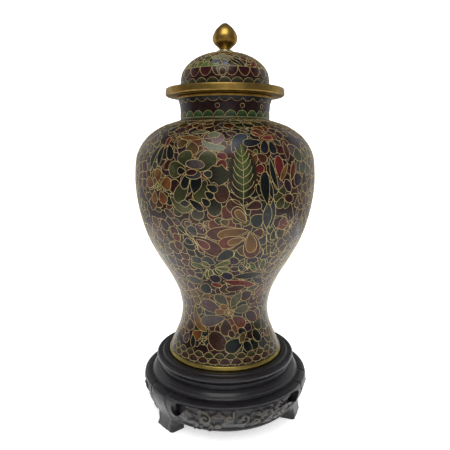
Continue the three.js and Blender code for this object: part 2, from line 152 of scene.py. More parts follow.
def outer_line(*names):
    """The outer line of turned nodes, from the corners of the faces that look away from the axis."""
    found = {}
    for name in names:
        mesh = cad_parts[name].data
        for face in mesh.polygons:
            middle = Vector(face.center[:2]).normalized()
            if face.normal.xy.dot(middle) < 0.05:
                continue
            for index in face.vertices:
                co = mesh.vertices[index].co / MM
                found[round(co.z, 1)] = max(found.get(round(co.z, 1), (0, 0)), (co.xy.length, co.z))
    points = [found[z] for z in sorted(found)]
    kept = []
    for k, (radius, height) in enumerate(points):
        beside = points[max(k - 1, 0):k] + points[k + 1:k + 2]
        # The inner edge of a wall's end stands beside its outer edge.
        if any(abs(z - height) < 1.5 and r > radius + 0.4 for r, z in beside):
            continue
        if not kept or math.dist((radius, height), kept[-1]) > 0.3:
            kept.append((radius, height))
    return Line(kept)


def counter_clockwise(points):
    """The points of a flat outline, turned round if they run clockwise."""
    p = np.array(points, float)
    q = np.roll(p, -1, axis=0)
    area = (p[:, 0] * q[:, 1] - q[:, 0] * p[:, 1]).sum()
    return [Vector(v) for v in (p if area > 0 else p[::-1])]


def rounded(outline, radius, steps=4):
    """A closed outline of points with its corners rounded."""
    result = []
    for k, corner in enumerate(outline):
        corner = np.array(corner, float)
        arms = [np.array(outline[k - 1], float) - corner, np.array(outline[(k + 1) % len(outline)], float) - corner]
        ends = [corner + arm * min(0.45, radius / max(np.hypot(*arm), 1e-6)) for arm in arms]
        for t in np.linspace(0, 1, steps):
            result.append((1 - t) ** 2 * ends[0] + 2 * t * (1 - t) * corner + t * t * ends[1])
    return result


# ---- Meshes ----
def new_piece(name, verts, faces, material, body, replaced=()):
    """A mesh object that rides on a body and stands for CAD nodes."""
    mesh = bpy.data.meshes.new(name)
    mesh.from_pydata([tuple(v) for v in verts], [], faces)
    mesh.materials.append(material)
    mesh.polygons.foreach_set("use_smooth", [True] * len(mesh.polygons))
    piece = bpy.data.objects.new(name, mesh)
    bpy.context.scene.collection.objects.link(piece)
    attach(piece, body)
    if replaced:
        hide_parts(*replaced)
    return piece


def bake_layout(piece, layout):
    """The piece's own unwrap: layout turns a corner's point in mm into (u, v)."""
    mesh = piece.data
    uv = mesh.uv_layers.new(name="OFBake")
    for face in mesh.polygons:
        corners = [layout(mesh.vertices[i].co / MM) for i in face.vertices]
        seam = max(c[0] for c in corners) - min(c[0] for c in corners) > 0.5
        for loop, (u, v) in zip(face.loop_indices, corners):
            uv.data[loop].uv = (u + 1 if seam and u < 0.5 else u, v)
    return uv


def turned_piece(name, outline, material, body, replaced=(), segments=128, sharp=0.9):
    """A turned solid from a closed outline of (radius, height) points in mm."""
    count = len(outline)
    verts, faces = [], []
    for j in range(segments):
        a = 2 * math.pi * j / segments
        verts += [(r * math.sin(a) * MM, -r * math.cos(a) * MM, z * MM) for r, z in outline]
    for j in range(segments):
        here, there = j * count, ((j + 1) % segments) * count
        for k in range(count):
            n = (k + 1) % count
            faces.append((here + k, there + k, there + n, here + n))
    piece = new_piece(name, verts, faces, material, body, replaced)
    make_outward(piece)
    soften(piece, sharp)
    return piece


def make_outward(piece):
    """Turns the faces of a closed piece outward."""
    bm = bmesh.new()
    bm.from_mesh(piece.data)
    bmesh.ops.remove_doubles(bm, verts=bm.verts, dist=MERGE * MM)
    bmesh.ops.recalc_face_normals(bm, faces=bm.faces)
    bm.to_mesh(piece.data)
    bm.free()


def soften(piece, sharp=0.9):
    """Smooth shading, apart from edges that turn by more than an angle in radians."""
    mesh = piece.data
    mesh.polygons.foreach_set("use_smooth", [True] * len(mesh.polygons))
    mesh.set_sharp_from_angle(angle=sharp)


# ---- Shader maths ----
class Value:
    """A number socket. Arithmetic on it adds Math nodes."""

    def __init__(self, sheet, socket):
        self.sheet, self.socket = sheet, socket

    def _math(self, operation, *values):
        node = self.sheet.node("ShaderNodeMath", {"operation": operation}, dict(enumerate(values)))
        return Value(self.sheet, node.outputs[0])

    def __add__(self, other):
        return self._math("ADD", self, other)

    def __radd__(self, other):
        return self._math("ADD", other, self)

    def __sub__(self, other):
        return self._math("SUBTRACT", self, other)

    def __rsub__(self, other):
        return self._math("SUBTRACT", other, self)

    def __mul__(self, other):
        return self._math("MULTIPLY", self, other)

    def __rmul__(self, other):
        return self._math("MULTIPLY", other, self)


class Sheet:
    """A material's node tree, with one Principled shader."""

    def __init__(self, name, **fixed):
        self.material = bpy.data.materials.new(name)
        self.material.use_nodes = True
        self.tree = self.material.node_tree
        self.shader = self.tree.nodes["Principled BSDF"]
        self.set(self.shader, fixed)

    def set(self, node, values):
        """Gives a node's sockets their values or links."""
        for key, value in values.items():
            socket = node.inputs[key]
            if isinstance(value, Value):
                self.tree.links.new(value.socket, socket)
            elif isinstance(value, bpy.types.NodeSocket):
                self.tree.links.new(value, socket)
            else:
                socket.default_value = value

    def node(self, kind, settings=None, inputs=None):
        """A node of a type, with its settings and then the values or links of its sockets."""
        node = self.tree.nodes.new(kind)
        for key, value in (settings or {}).items():
            if key == "stops":
                for k, (place, colour) in enumerate(value):
                    stop = node.color_ramp.elements[k] if k < 2 else node.color_ramp.elements.new(place)
                    stop.position, stop.color = place, colour
            else:
                setattr(node, key, value)
        self.set(node, inputs or {})
        return node

    def place(self, scale=(1, 1, 1)):
        """The object's own coordinates, stretched."""
        own = self.node("ShaderNodeTexCoord").outputs["Object"]
        return self.node("ShaderNodeMapping", {}, {"Vector": own, "Scale": scale}).outputs[0]

    def noise(self, vector, scale, detail=4.0, roughness=0.5):
        """A noise value from 0 to 1."""
        inputs = {"Vector": vector, "Scale": scale, "Detail": detail, "Roughness": roughness}
        return Value(self, self.node("ShaderNodeTexNoise", {}, inputs).outputs[0])

    def between(self, value, low, high, to_low=0.0, to_high=1.0):
        """The value from low..high carried to to_low..to_high."""
        inputs = {"Value": value, "From Min": low, "From Max": high, "To Min": to_low, "To Max": to_high}
        return Value(self, self.node("ShaderNodeMapRange", {"clamp": True}, inputs).outputs[0])

    def mix(self, amount, a, b, blend="MIX"):
        """Two colours mixed."""
        settings = {"data_type": "RGBA", "blend_type": blend}
        return self.node("ShaderNodeMix", settings, {0: amount, 6: a, 7: b}).outputs[2]

    def bump(self, height, strength, distance):
        """Small relief from a height value. Goes to Normal."""
        inputs = {"Height": height, "Strength": strength, "Distance": distance}
        return self.node("ShaderNodeBump", {}, inputs).outputs[0]


def pigment(colour, shade=1.0):
    """An ink as it looks when it is fired under glass."""
    return np.array(ink(*colour)[:3]) ** RICHNESS * shade * DEPTH


def ink(red, green, blue):
    """An on-screen colour of 0 to 255 values as a linear RGBA colour."""
    def linear(c):
        c /= 255
        return c / 12.92 if c <= 0.04045 else ((c + 0.055) / 1.055) ** 2.4
    return (linear(red), linear(green), linear(blue), 1.0)


def enamel_glass():
    """Fired and polished enamel: the pigment comes from the cell's colour, under clear glass."""
    sheet = Sheet("enamel_glass", **{"IOR": 1.5, "Specular IOR Level": 0.32})
    pigment = sheet.node("ShaderNodeVertexColor", {"layer_name": "Pigment"}).outputs[0]
    grain = sheet.noise(sheet.place(), 900.0, 3.0)
    cloud = sheet.noise(sheet.place(), 160.0, 4.0)
    shade = sheet.between(0.6 * grain + 0.4 * cloud, 0.3, 0.7, 0.0, 1.0)
    dull = sheet.mix(1.0, pigment, ink(190, 186, 182), "MULTIPLY")
    colour = sheet.mix(shade, dull, pigment)
    waves = sheet.noise(sheet.place(), 45.0, 2.0)
    pits = sheet.noise(sheet.place(), 700.0, 2.0)
    normal = sheet.bump(waves + 0.12 * pits, 0.12, 0.0012)
    rough = sheet.between(cloud, 0.3, 0.7, 0.2, 0.32)
    sheet.set(sheet.shader, {"Base Color": colour, "Roughness": rough, "Normal": normal})
    return sheet.material


def lining_enamel():
    """Plain turquoise counter-enamel inside the vase and the lid."""
    sheet = Sheet("lining_enamel", **{"IOR": 1.5})
    cloud = sheet.noise(sheet.place(), 90.0, 5.0)
    colour = sheet.mix(sheet.between(cloud, 0.3, 0.7), ink(38, 104, 112), ink(62, 140, 146))
    specks = sheet.noise(sheet.place(), 1500.0, 1.0)
    normal = sheet.bump(cloud + 0.3 * specks, 0.25, 0.0008)
    rough = sheet.between(cloud, 0.3, 0.7, 0.22, 0.38)
    sheet.set(sheet.shader, {"Base Color": colour, "Roughness": rough, "Normal": normal})
    return sheet.material


def metal(name, bright, dark, rough, streak=(30, 30, 600), depth=0.12, metallic=1.0):
    """Metal with fine turning marks, darker where it has tarnished."""
    sheet = Sheet(name, **{"Metallic": metallic})
    marks = sheet.noise(sheet.place(streak), 6.0, 3.0)
    tarnish = sheet.noise(sheet.place(), 130.0, 6.0, 0.65)
    colour = sheet.mix(sheet.between(tarnish, 0.35, 0.68), bright, dark)
    roughness = sheet.between(0.5 * marks + 0.5 * tarnish, 0.3, 0.7, rough - 0.07, rough + 0.1)
    normal = sheet.bump(marks, depth, 0.0003)
    sheet.set(sheet.shader, {"Base Color": colour, "Roughness": roughness, "Normal": normal})
    return sheet.material


def lacquered_wood(name="lacquered_wood", worn=False):
    """Close-grained hardwood under dark lacquer, a little brown where it is rubbed."""
    sheet = Sheet(name, **{"IOR": 1.48, "Specular IOR Level": 0.4, "Coat Roughness": 0.16})
    grain = sheet.noise(sheet.place((60, 60, 700)), 3.0, 6.0, 0.6)
    rubbed = sheet.noise(sheet.place(), 70.0, 5.0, 0.6)
    colour = sheet.mix(sheet.between(grain, 0.35, 0.7), ink(16, 14, 18), ink(30, 27, 31))
    if worn:
        edge = Value(sheet, sheet.node("ShaderNodeVertexColor", {"layer_name": "Rubbed"}).outputs[0])
        colour = sheet.mix(0.75 * edge * sheet.between(rubbed, 0.3, 0.6), colour, ink(80, 72, 56))
    rough = sheet.between(rubbed, 0.3, 0.7, 0.3, 0.44)
    normal = sheet.bump(grain + 0.4 * rubbed, 0.22, 0.0007)
    sheet.set(sheet.shader, {"Base Color": colour, "Roughness": rough, "Normal": normal, "Coat Weight": 0.2})
    return sheet.material


def pale_wood():
    """Bare dowel wood."""
    sheet = Sheet("dowel_wood", Roughness=0.7)
    grain = sheet.noise(sheet.place((300, 300, 40)), 5.0, 5.0)
    colour = sheet.mix(sheet.between(grain, 0.35, 0.65), ink(120, 88, 58), ink(158, 122, 84))
    sheet.set(sheet.shader, {"Base Color": colour, "Normal": sheet.bump(grain, 0.2, 0.0004)})
    return sheet.material


MATERIALS = {}


def make_materials():
    """Every finish, by the record's slot where it has one."""
    MATERIALS.update({
        "enamel": enamel_glass(),
        "lining": lining_enamel(),
        "wire": metal("gilt_wire", ink(226, 206, 148), ink(184, 160, 104), 0.42, (200, 200, 200), 0.05, 0.7),
        "brass": metal("satin_brass", ink(184, 154, 84), ink(146, 112, 54), 0.36),
        "foot": metal("foot_brass", ink(176, 156, 88), ink(142, 122, 60), 0.36),
        "finial": metal("finial_brass", ink(196, 162, 84), ink(156, 118, 52), 0.36, (40, 40, 300), 0.06),
        "pale": metal("collar_brass", ink(232, 226, 190), ink(200, 190, 140), 0.36),
        "copper": metal("copper_wall", ink(190, 118, 84), ink(120, 70, 52), 0.45),
        "steel": metal("steel", ink(178, 180, 184), ink(130, 132, 136), 0.38),
        "wood": lacquered_wood(),
        "carved": lacquered_wood("carved_wood", worn=True),
        "dowel": pale_wood(),
    })


# ---- Enamel inks: the colour at a petal's foot and at its edge ----
INKS = {
    "ground": ((60, 22, 22), (72, 28, 26)),
    "olive": ((44, 42, 24), (96, 98, 58)),
    "olive_dark": ((28, 26, 16), (72, 70, 34)),
    "olive_pale": ((84, 80, 52), (116, 112, 76)),
    "olive_grey": ((70, 66, 52), (96, 94, 74)),
    "grey_green": ((72, 82, 70), (104, 112, 92)),
    "celadon": ((120, 128, 102), (150, 156, 130)),
    "ochre": ((112, 72, 32), (152, 112, 52)),
    "ochre_dark": ((88, 62, 28), (128, 104, 56)),
    "orange": ((104, 60, 24), (146, 96, 40)),
    "umber": ((66, 34, 20), (98, 60, 34)),
    "umber_red": ((82, 36, 28), (108, 58, 42)),
    "russet": ((96, 40, 26), (134, 68, 38)),
    "red": ((104, 24, 24), (140, 42, 34)),
    "red_dark": ((66, 16, 18), (96, 28, 26)),
    "red_coral": ((120, 44, 38), (146, 72, 54)),
    "rose": ((108, 42, 44), (138, 72, 68)),
    "wine": ((58, 16, 22), (88, 30, 36)),
    "mauve": ((80, 56, 60), (108, 82, 84)),
    "mauve_grey": ((84, 74, 74), (110, 98, 96)),
    "mauve_pale": ((112, 82, 90), (142, 116, 118)),
    "purple": ((48, 24, 42), (70, 44, 62)),
    "navy": ((20, 18, 48), (30, 30, 66)),
    "slate": ((52, 54, 58), (82, 84, 84)),
    "slate_blue": ((44, 52, 66), (94, 104, 118)),
    "ink_black": ((12, 14, 18), (30, 38, 40)),
    "ink_blue": ((14, 20, 28), (40, 52, 64)),
    "ink_green": ((14, 22, 20), (34, 54, 44)),
    "leaf_green": ((72, 84, 36), (112, 124, 58)),
    "leaf_shade": ((56, 58, 24), (86, 96, 40)),
    "neck_green": ((40, 72, 32), (84, 128, 62)),
    "neck_line": ((96, 108, 70), (128, 140, 96)),
    "neck_dark": ((18, 18, 16), (34, 38, 30)),
    "scale_green": ((62, 56, 36), (92, 86, 52)),
    "scale_maroon": ((70, 40, 34), (96, 64, 46)),
    "cream": ((150, 148, 118), (182, 178, 150)),
    "sky": ((84, 98, 118), (142, 152, 162)),
    "dome_green": ((88, 112, 52), (136, 156, 92)),
}

# The painted garden of the front. A flower has its heart's azimuth and height along the wall, and its petals:
# shape, foot across and up from the heart, turn from the horizontal, length, width, ink and sideways bow.
GARDEN = (
    ((-8, 176), (
        ("leaf", -15, 5, 5, 13, 3, "grey_green"), ("leaf", -24, 1, 355, 18, 4, "ochre"),
        ("petal", -16, -3, 195, 8, 7, "ochre_dark"), ("wavy", -14, -3, 285, 10, 9, "ochre_dark"),
        ("round", -6, 0, 0, 14, 11, "mauve_pale"), ("leaf", -6, -1, 345, 8, 3, "wine"),
        ("round", -3, 3, 0, 8, 6, "celadon"), ("leaf", -10, -14, 20, 11, 6, "mauve"),
        ("petal", -7, -2, 340, 17, 5, "celadon", -0.12), ("round", 4, -12, 340, 7, 5, "rose"),
        ("round", 4, -18, 340, 7, 8, "red"))),
    ((-40, 172), (
        ("round", 13, -11, 220, 11, 6, "red_dark"), ("leaf", -1, 0, 247, 22, 5, "ink_black", -0.08),
        ("leaf", 1, -1, 265, 16, 5, "ink_black", -0.06), ("petal", 5, -1, 295, 12, 6, "ink_black"),
        ("leaf", 2, 6, 275, 9, 4, "red"), ("leaf", 3, 6, 330, 8, 3, "red_dark"))),
    ((-41, 142), (
        ("petal", 0, 3, 90, 9, 7, "orange"), ("petal", 3, 2, 5, 9, 9, "orange"),
        ("petal", 2, -3, 295, 9, 8, "orange"),
        ("petal", -3, -3, 255, 9, 6, "orange"), ("petal", -4, 1, 165, 9, 8, "orange"),
        ("round", -3, 0, 0, 6, 5, "leaf_green"))),
    ((-16, 152), (
        ("round", 12, -16, 270, 12, 10, "olive_dark"), ("round", 17, -7, 270, 12, 10, "umber"),
        ("petal", -19, -16, 337, 18, 8, "olive_pale", -0.15), ("round", 0, -23, 280, 8, 9, "olive_grey"),
        ("petal", -5, 4, 115, 11, 11, "olive"), ("petal", 1, 1, 48, 16, 12, "olive"),
        ("petal", -7, 3, 188, 13, 11, "olive"), ("wavy", 5, 0, 353, 17, 12, "olive_dark"),
        ("petal", -5, -4, 238, 18, 9, "olive"), ("petal", 7, -4, 248, 16, 10, "olive"),
        ("leaf", -12, -20, 0, 8, 5, "slate"), ("petal", -5, -17, 323, 12, 5, "ink_black"),
        ("petal", 4, -16, 313, 7, 5, "ink_black"), ("petal", 6, -12, 327, 7, 5, "ink_black"),
        ("petal", 7, -8, 337, 8, 5, "ink_black"), ("leaf", 2, 1, 257, 15, 8, "ink_black"),
        ("petal", -5, 0, 250, 11, 6, "ink_black"), ("petal", -7, 1, 180, 6, 5, "ink_black"),
        ("petal", 5, 0, 350, 6, 5, "slate"), ("round", -7, 6, 355, 13, 6, "mauve_grey"),
        ("round", -7, -1, 0, 11, 6, "slate"), ("round", -7, 0, 5, 8, 4, "wine"))),
    ((-27, 118), (
        ("round", -12, 9, 323, 10, 5, "mauve"), ("wavy", -7, 3, 330, 8, 5, "mauve"),
        ("round", 1, 0, 0, 8, 7, "mauve"),
        ("round", 3, 0, 0, 5, 4, "mauve_grey"), ("petal", 24, 4, 340, 6, 5, "olive"),
        ("petal", 28, 3, 340, 6, 5, "ochre_dark"))),
    ((27, 177), (
        ("round", -26, 4, 345, 7, 5, "mauve"), ("leaf", -17, 8, 345, 8, 3, "slate"),
        ("petal", -25, -12, 55, 18, 8, "slate_blue", 0.1), ("petal", -5, -4, 185, 13, 6, "ink_blue"),
        ("petal", -2, -2, 253, 11, 6, "ink_blue"), ("petal", 2, -3, 270, 10, 6, "ink_blue"),
        ("petal", 4, -2, 320, 7, 4, "slate"), ("leaf", -10, 5, 320, 8, 3, "red_coral"),
        ("wavy", -4, -1, 5, 9, 4, "red_coral"))),
    ((17, 164), (
        ("petal", -1, 1, 180, 9, 6, "russet"), ("petal", 1, 0, 240, 7, 5, "orange"),
        ("petal", 1, 0, 323, 8, 6, "umber_red"), ("round", 1, -7, 305, 6, 6, "red"),
        ("round", -1, 2, 0, 3, 3, "leaf_green"))),
    ((26, 140), (
        ("leaf", 14, 19, 87, 15, 5, "umber_red"), ("petal", 8, 6, 98, 17, 7, "red"),
        ("leaf", 7, 6, 60, 14, 4, "ochre"),
        ("leaf", 17, 6, 75, 14, 5, "russet"), ("round", 17, -1, 127, 10, 6, "purple"),
        ("round", 20, -7, 162, 9, 6, "wine"), ("leaf", 2, -26, 90, 21, 6, "slate"),
        ("leaf", -1, -26, 92, 19, 7, "slate"), ("leaf", 6, 0, 107, 23, 4, "ink_green", 0.05),
        ("leaf", 2, -6, 110, 17, 4, "ink_blue"), ("petal", -2, -9, 98, 22, 7, "ink_black", 0.04),
        ("petal", -17, -11, 10, 11, 6, "wine", 0.1), ("petal", -17, -15, 145, 15, 9, "umber"))),
    ((14, 112), (
        ("petal", -2, 7, 130, 14, 8, "umber_red"), ("petal", -2, 8, 133, 11, 5, "ochre"),
        ("petal", 1, 1, 184, 29, 10, "umber_red"), ("petal", 0, 2, 190, 21, 7, "ochre"),
        ("petal", -2, -4, 195, 18, 9, "russet"), ("petal", -3, -4, 200, 11, 5, "ochre"),
        ("petal", 1, 1, 282, 22, 12, "umber_red"), ("petal", 1, 0, 282, 16, 8, "ochre"),
        ("petal", 3, 0, 340, 8, 6, "umber_red", 0.2))),
    ((-20, 108), (
        ("petal", 3, 1, 130, 9, 8, "slate"), ("petal", -5, 2, 140, 8, 7, "ink_green"),
        ("petal", 0, -5, 155, 7, 5, "ink_green"), ("round", -11, 5, 205, 7, 8, "umber_red"),
        ("round", -10, 0, 200, 6, 7, "russet"), ("round", -9, -7, 190, 7, 8, "umber_red"),
        ("petal", 0, 1, 325, 23, 11, "umber_red"), ("petal", 2, -1, 322, 11, 6, "rose"))),
    ((-10, 83), (
        ("leaf", 6, -13, 345, 28, 7, "red"), ("round", 8, -22, 8, 14, 6, "red_dark"),
        ("round", -2, -16, 340, 8, 5, "red"),
        ("leaf", -8, -15, 175, 15, 8, "olive_grey"), ("petal", -5, -16, 252, 11, 9, "ink_green"),
        ("petal", -5, 6, 175, 9, 7, "slate"), ("petal", 3, 4, 155, 10, 8, "slate"),
        ("petal", 4, 7, 35, 14, 8, "ink_green"), ("petal", 13, 4, 42, 7, 8, "purple"),
        ("petal", 12, 0, 345, 7, 5, "purple"), ("round", -1, -7, 300, 9, 8, "navy"),
        ("round", 6, -5, 325, 10, 7, "navy"),
        ("petal", -4, 0, 170, 11, 5, "leaf_green"), ("petal", -1, 1, 145, 7, 4, "leaf_green"),
        ("petal", 2, 1, 25, 12, 4, "leaf_green"), ("petal", 3, 0, 350, 9, 4, "leaf_green"),
        ("petal", 2, -1, 315, 7, 3, "leaf_green"), ("petal", -1, -1, 265, 7, 4, "leaf_green"),
        ("leaf", -3, -1, 258, 12, 2, "leaf_green"), ("leaf", 13, -9, 2, 25, 7, "ink_green"),
        ("leaf", 26, 5, 300, 12, 4, "leaf_green"), ("leaf", 38, -5, 100, 12, 5, "leaf_green"))),
    ((28, 58), (
        ("petal", -4, 2, 10, 9, 5, "olive_grey"), ("petal", 4, -9, 55, 13, 5, "rose"),
        ("petal", 15, -2, 65, 9, 5, "mauve"))),
    ((4, 40), (
        ("round", 14, -1, 320, 13, 8, "wine"), ("leaf", 2, 4, 65, 16, 7, "olive_pale"),
        ("petal", -1, 6, 130, 13, 8, "olive_grey"), ("petal", -26, 4, 295, 22, 6, "ochre", -0.22),
        ("petal", -5, 1, 155, 17, 10, "mauve"), ("petal", -2, -4, 195, 20, 9, "mauve_grey"),
        ("petal", -2, -5, 272, 13, 9, "umber"), ("petal", 3, -3, 320, 13, 8, "russet"),
        ("petal", 4, 1, 10, 12, 7, "olive_pale"), ("petal", -1, 1, 185, 9, 5, "ochre"),
        ("petal", 0, 1, 135, 8, 5, "ochre"), ("round", -3, 0, 0, 7, 6, "ochre"))),
    ((4, 20), (
        ("petal", -21, 4, 215, 10, 8, "orange", 0.1), ("round", -14, 4, 315, 16, 12, "umber"),
        ("petal", 12, -1, 207, 16, 10, "ink_green"), ("round", 8, 7, 315, 8, 6, "ink_black"),
        ("round", 13, -3, 295, 9, 7, "ink_black"), ("round", 21, 4, 300, 11, 7, "ink_black"),
        ("leaf", 13, 4, 240, 9, 5, "ochre_dark"), ("round", 1, 6, 300, 6, 5, "wine"),
        ("leaf", -31, 0, 290, 11, 5, "ink_black"), ("petal", 33, 2, 300, 8, 5, "umber_red"))),
)
# Wire stars: azimuth, height along the wall, rays and reach
STARS = ((-12, 117, 9, 4), (44, 114, 12, 8), (-31, 177, 8, 4), (-27, 17, 5, 4), (16, 83, 5, 4), (5, 40, 9, 4),
         (-41, 142, 6, 3), (52, 86, 6, 4), (-52, 96, 7, 4))
# Stems: points of azimuth and height along the wall
STEMS = (((-33, 120), (-27, 112), (-20, 107), (-17, 99)), ((-24, 115), (-20, 110), (-9, 109)),
         ((26, 114), (27, 104), (31, 92)), ((29, 116), (36, 104), (35, 92)), ((42, 130), (46, 118), (41, 106)),
         ((34, 77), (41, 84), (47, 92)), ((34, 76), (43, 78), (50, 84)))
BIG_LEAF = ((10, 131), (9, 171), 15)  # foot, tip and width
REPEATS = ((0, False), (122, True), (-119, False))  # where the garden stands again, and whether it is mirrored
FILLER_INKS = ("umber_red", "wine", "red_dark", "umber", "olive_dark", "mauve", "ink_green", "ink_black",
"olive_grey",
               "russet", "ground", "red_dark", "wine", "umber", "slate", "ochre_dark", "purple", "olive")


def outline(shape, length, width, bow=0.0, step=1.1):
    """A closed outline in mm, from its foot at (0, 0) to its tip at (length, 0)."""
    count = max(5, int(length / step))
    t = (1 - np.cos(np.linspace(0, math.pi, count + 1))) / 2
    power = {"petal": 1.6, "wavy": 1.5}.get(shape, 1.0)
    half = np.sin(math.pi * t) if shape == "leaf" else np.sqrt(np.clip(1 - (2 * t**power - 1) ** 2, 0, 1))
    if shape == "wavy":
        half = half * (1 + 0.16 * np.cos(t * math.pi * 6))
    side = 0.5 * width * half
    mid = bow * length * np.sin(math.pi * t)
    upper = list(zip(length * t, mid + side))
    lower = list(zip(length * t, mid - side))[1:-1]
    return upper + lower[::-1]


class Drawing:
    """Cells and free wires drawn on a turned wall, as azimuths and lengths along the wall."""

    def __init__(self, line, mean_radius, spacing):
        self.line, self.mean_radius, self.spacing = line, mean_radius, spacing
        self.cells, self.lines, self.plain = [], [], set()
        self.rng = random.Random(SEED)

    def degrees(self, mm, s):
        """A distance across the wall as an angle."""
        return math.degrees(mm / float(self.line.at(s)[0]))

    def cell(self, points, colours, foot, tip):
        """A cell of enamel, with its colours at its foot and its tip."""
        shade = self.rng.uniform(0.86, 1.12)
        colours = [pigment(c, shade) for c in colours]
        self.cells.append((points, colours, foot, tip))

    def petal(self, azimuth, s, row, mirrored=False):
        """A petal whose foot is across and up from the flower's heart."""
        shape, x, y, turn, length, width, colour, *bow = row
        side = -1 if mirrored else 1
        a = math.radians(turn)
        across, up = side * math.cos(a), math.sin(a)
        ring = outline(shape, length, width, side * bow[0] if bow else 0.0)
        middle = np.clip(s + y + up * length / 2, 1, self.line.length - 1)
        to_az = math.degrees(1 / float(self.line.at(middle)[0]))

        def spot(px, py):
            return (azimuth + (side * x + px * across - py * up) * to_az, s + y + px * up + py * across)

        self.cell([spot(px, py) for px, py in ring], INKS[colour], spot(0, 0), spot(length, 0))

    def flower(self, azimuth, s, rows, mirrored=False):
        """Petals round one heart."""
        for row in rows:
            self.petal(azimuth, s, row, mirrored)

    def stroke(self, points):
        """A free wire through points, smoothed."""
        p = np.array(points, float)
        if len(p) > 2:
            steps = np.r_[0, np.cumsum(np.hypot(*np.diff(p, axis=0).T))]
            slopes = np.gradient(p, steps, axis=0)
            fine = []
            for k in range(len(p) - 1):
                span = steps[k + 1] - steps[k]
                for t in np.linspace(0, 1, 5)[:-1]:
                    fine.append(eased(t, span, p[k], p[k + 1], slopes[k], slopes[k + 1]))
            p = np.array(fine + [p[-1]])
        self.lines.append(p)

    def star(self, azimuth, s, rays, reach):
        """Straight wires out of one point."""
        for k in range(rays):
            a = 2 * math.pi * k / rays + 0.3
            far = (azimuth + self.degrees(reach * math.cos(a), s), s + reach * math.sin(a))
            self.stroke([(azimuth, s), far])

    def veined_leaf(self, foot, tip, width, mirrored=False, turn=0.0, pairs=8):
        """A big leaf with a midrib and curved veins."""
        side = -1 if mirrored else 1
        (a0, s0), (a1, s1) = foot, tip
        a0, a1 = turn + side * a0, turn + side * a1
        length = s1 - s0
        for inset, colour in ((0, "umber"), (1.2, "olive_dark"), (3.4, "leaf_shade"), (6, "leaf_green")):
            self.plain.add(len(self.cells))
            row = ("leaf", 0, 0.6 * inset, 90 + side, length + 2 - inset, width + 4 - 2 * inset, colour)
            self.petal(a0, s0, row)
        self.stroke([(a0, s0 - 1), ((a0 + a1) / 2 + side * 0.4, (s0 + s1) / 2), (a1, s1)])
        for k in range(pairs):
            t = 0.9 * k / pairs
            s = s0 + t * length
            a = a0 + t * (a1 - a0)
            reach = (0.56 - 0.34 * t) * width
            rise = (0.5 + 0.75 * t) * reach + 2
            for hand in (-1, 1):
                out = hand * self.degrees(reach, s)
                self.stroke([(a, s), (a + 0.45 * out, s + 0.22 * rise), (a + 0.85 * out, s + 0.62 * rise),
                             (a + out, s + rise)])

    def band(self, low, high, colour):
        """A plain band right round the wall. Its edges have many points, so that they stay round."""
        around = np.linspace(-180, 180, 121)
        ring = [(a, low) for a in around] + [(a, high) for a in around[::-1]]
        self.cell(ring, INKS[colour], (0, low), (0, high))

    def scallops(self, count, s, height, colour, start=0.0, hang=False, fill=1.02):
        """A row of round-headed arches, or of hanging swags."""
        for k in range(count):
            azimuth = -180 + (k + start) * 360 / count
            radius = float(self.line.at(s)[0])
            half = fill * math.pi * radius / count
            angles = np.linspace(0, math.pi, 9)
            side = -1 if hang else 1
            ring = [(azimuth + self.degrees(half * math.cos(t), s), s + side * height * math.sin(t)) for t in angles]
            self.cell(ring, INKS[colour], (azimuth, s), (azimuth, s + side * height))

    def undergrowth(self, low, high, apart, size):
        """Small flowers and leaves that fill the ground, on a shaken grid of places some mm apart."""
        rows = max(1, round((high - low) / (0.86 * apart)))
        for j in range(rows):
            level = low + (j + 0.5) * (high - low) / rows
            around = max(3, round(2 * math.pi * float(self.line.at(level)[0]) / apart))
            for i in range(around):
                azimuth = -180 + (i + 0.5 * (j % 2)) * 360 / around + self.degrees(self.rng.uniform(-2.6, 2.6), level)
                self.small_flower(azimuth, level + self.rng.uniform(-2.2, 2.2), size)

    def small_flower(self, azimuth, s, size):
        """A blossom, a fan of petals or a pair of leaves."""
        start = self.rng.uniform(0, 360)
        reach = self.rng.uniform(0.8, 1.2) * size
        colour, other = self.rng.choice(FILLER_INKS), self.rng.choice(FILLER_INKS)
        petals = self.rng.choice((2, 3, 4, 5, 5, 6))
        shape = self.rng.choice(("petal", "petal", "leaf", "wavy", "round"))
        apart = 360 / petals if petals > 3 else 58
        wide = (0.95 if petals < 5 else 0.78) * reach
        for k in range(petals):
            shade = colour if k % 2 or petals > 3 else other
            bow = self.rng.uniform(-0.1, 0.1)
            self.petal(azimuth, s, (shape, 0, 0, start + k * apart, reach, wide, shade, bow))
        if petals > 3:
            self.petal(azimuth, s, ("round", -0.15 * reach, 0, 0, 0.3 * reach, 0.3 * reach, other))

    # -- From drawing to surface --
    def flat(self, point):
        """A drawn point on the flat sheet that is cut into triangles."""
        return Vector((math.radians(point[0]) * self.mean_radius, point[1]))

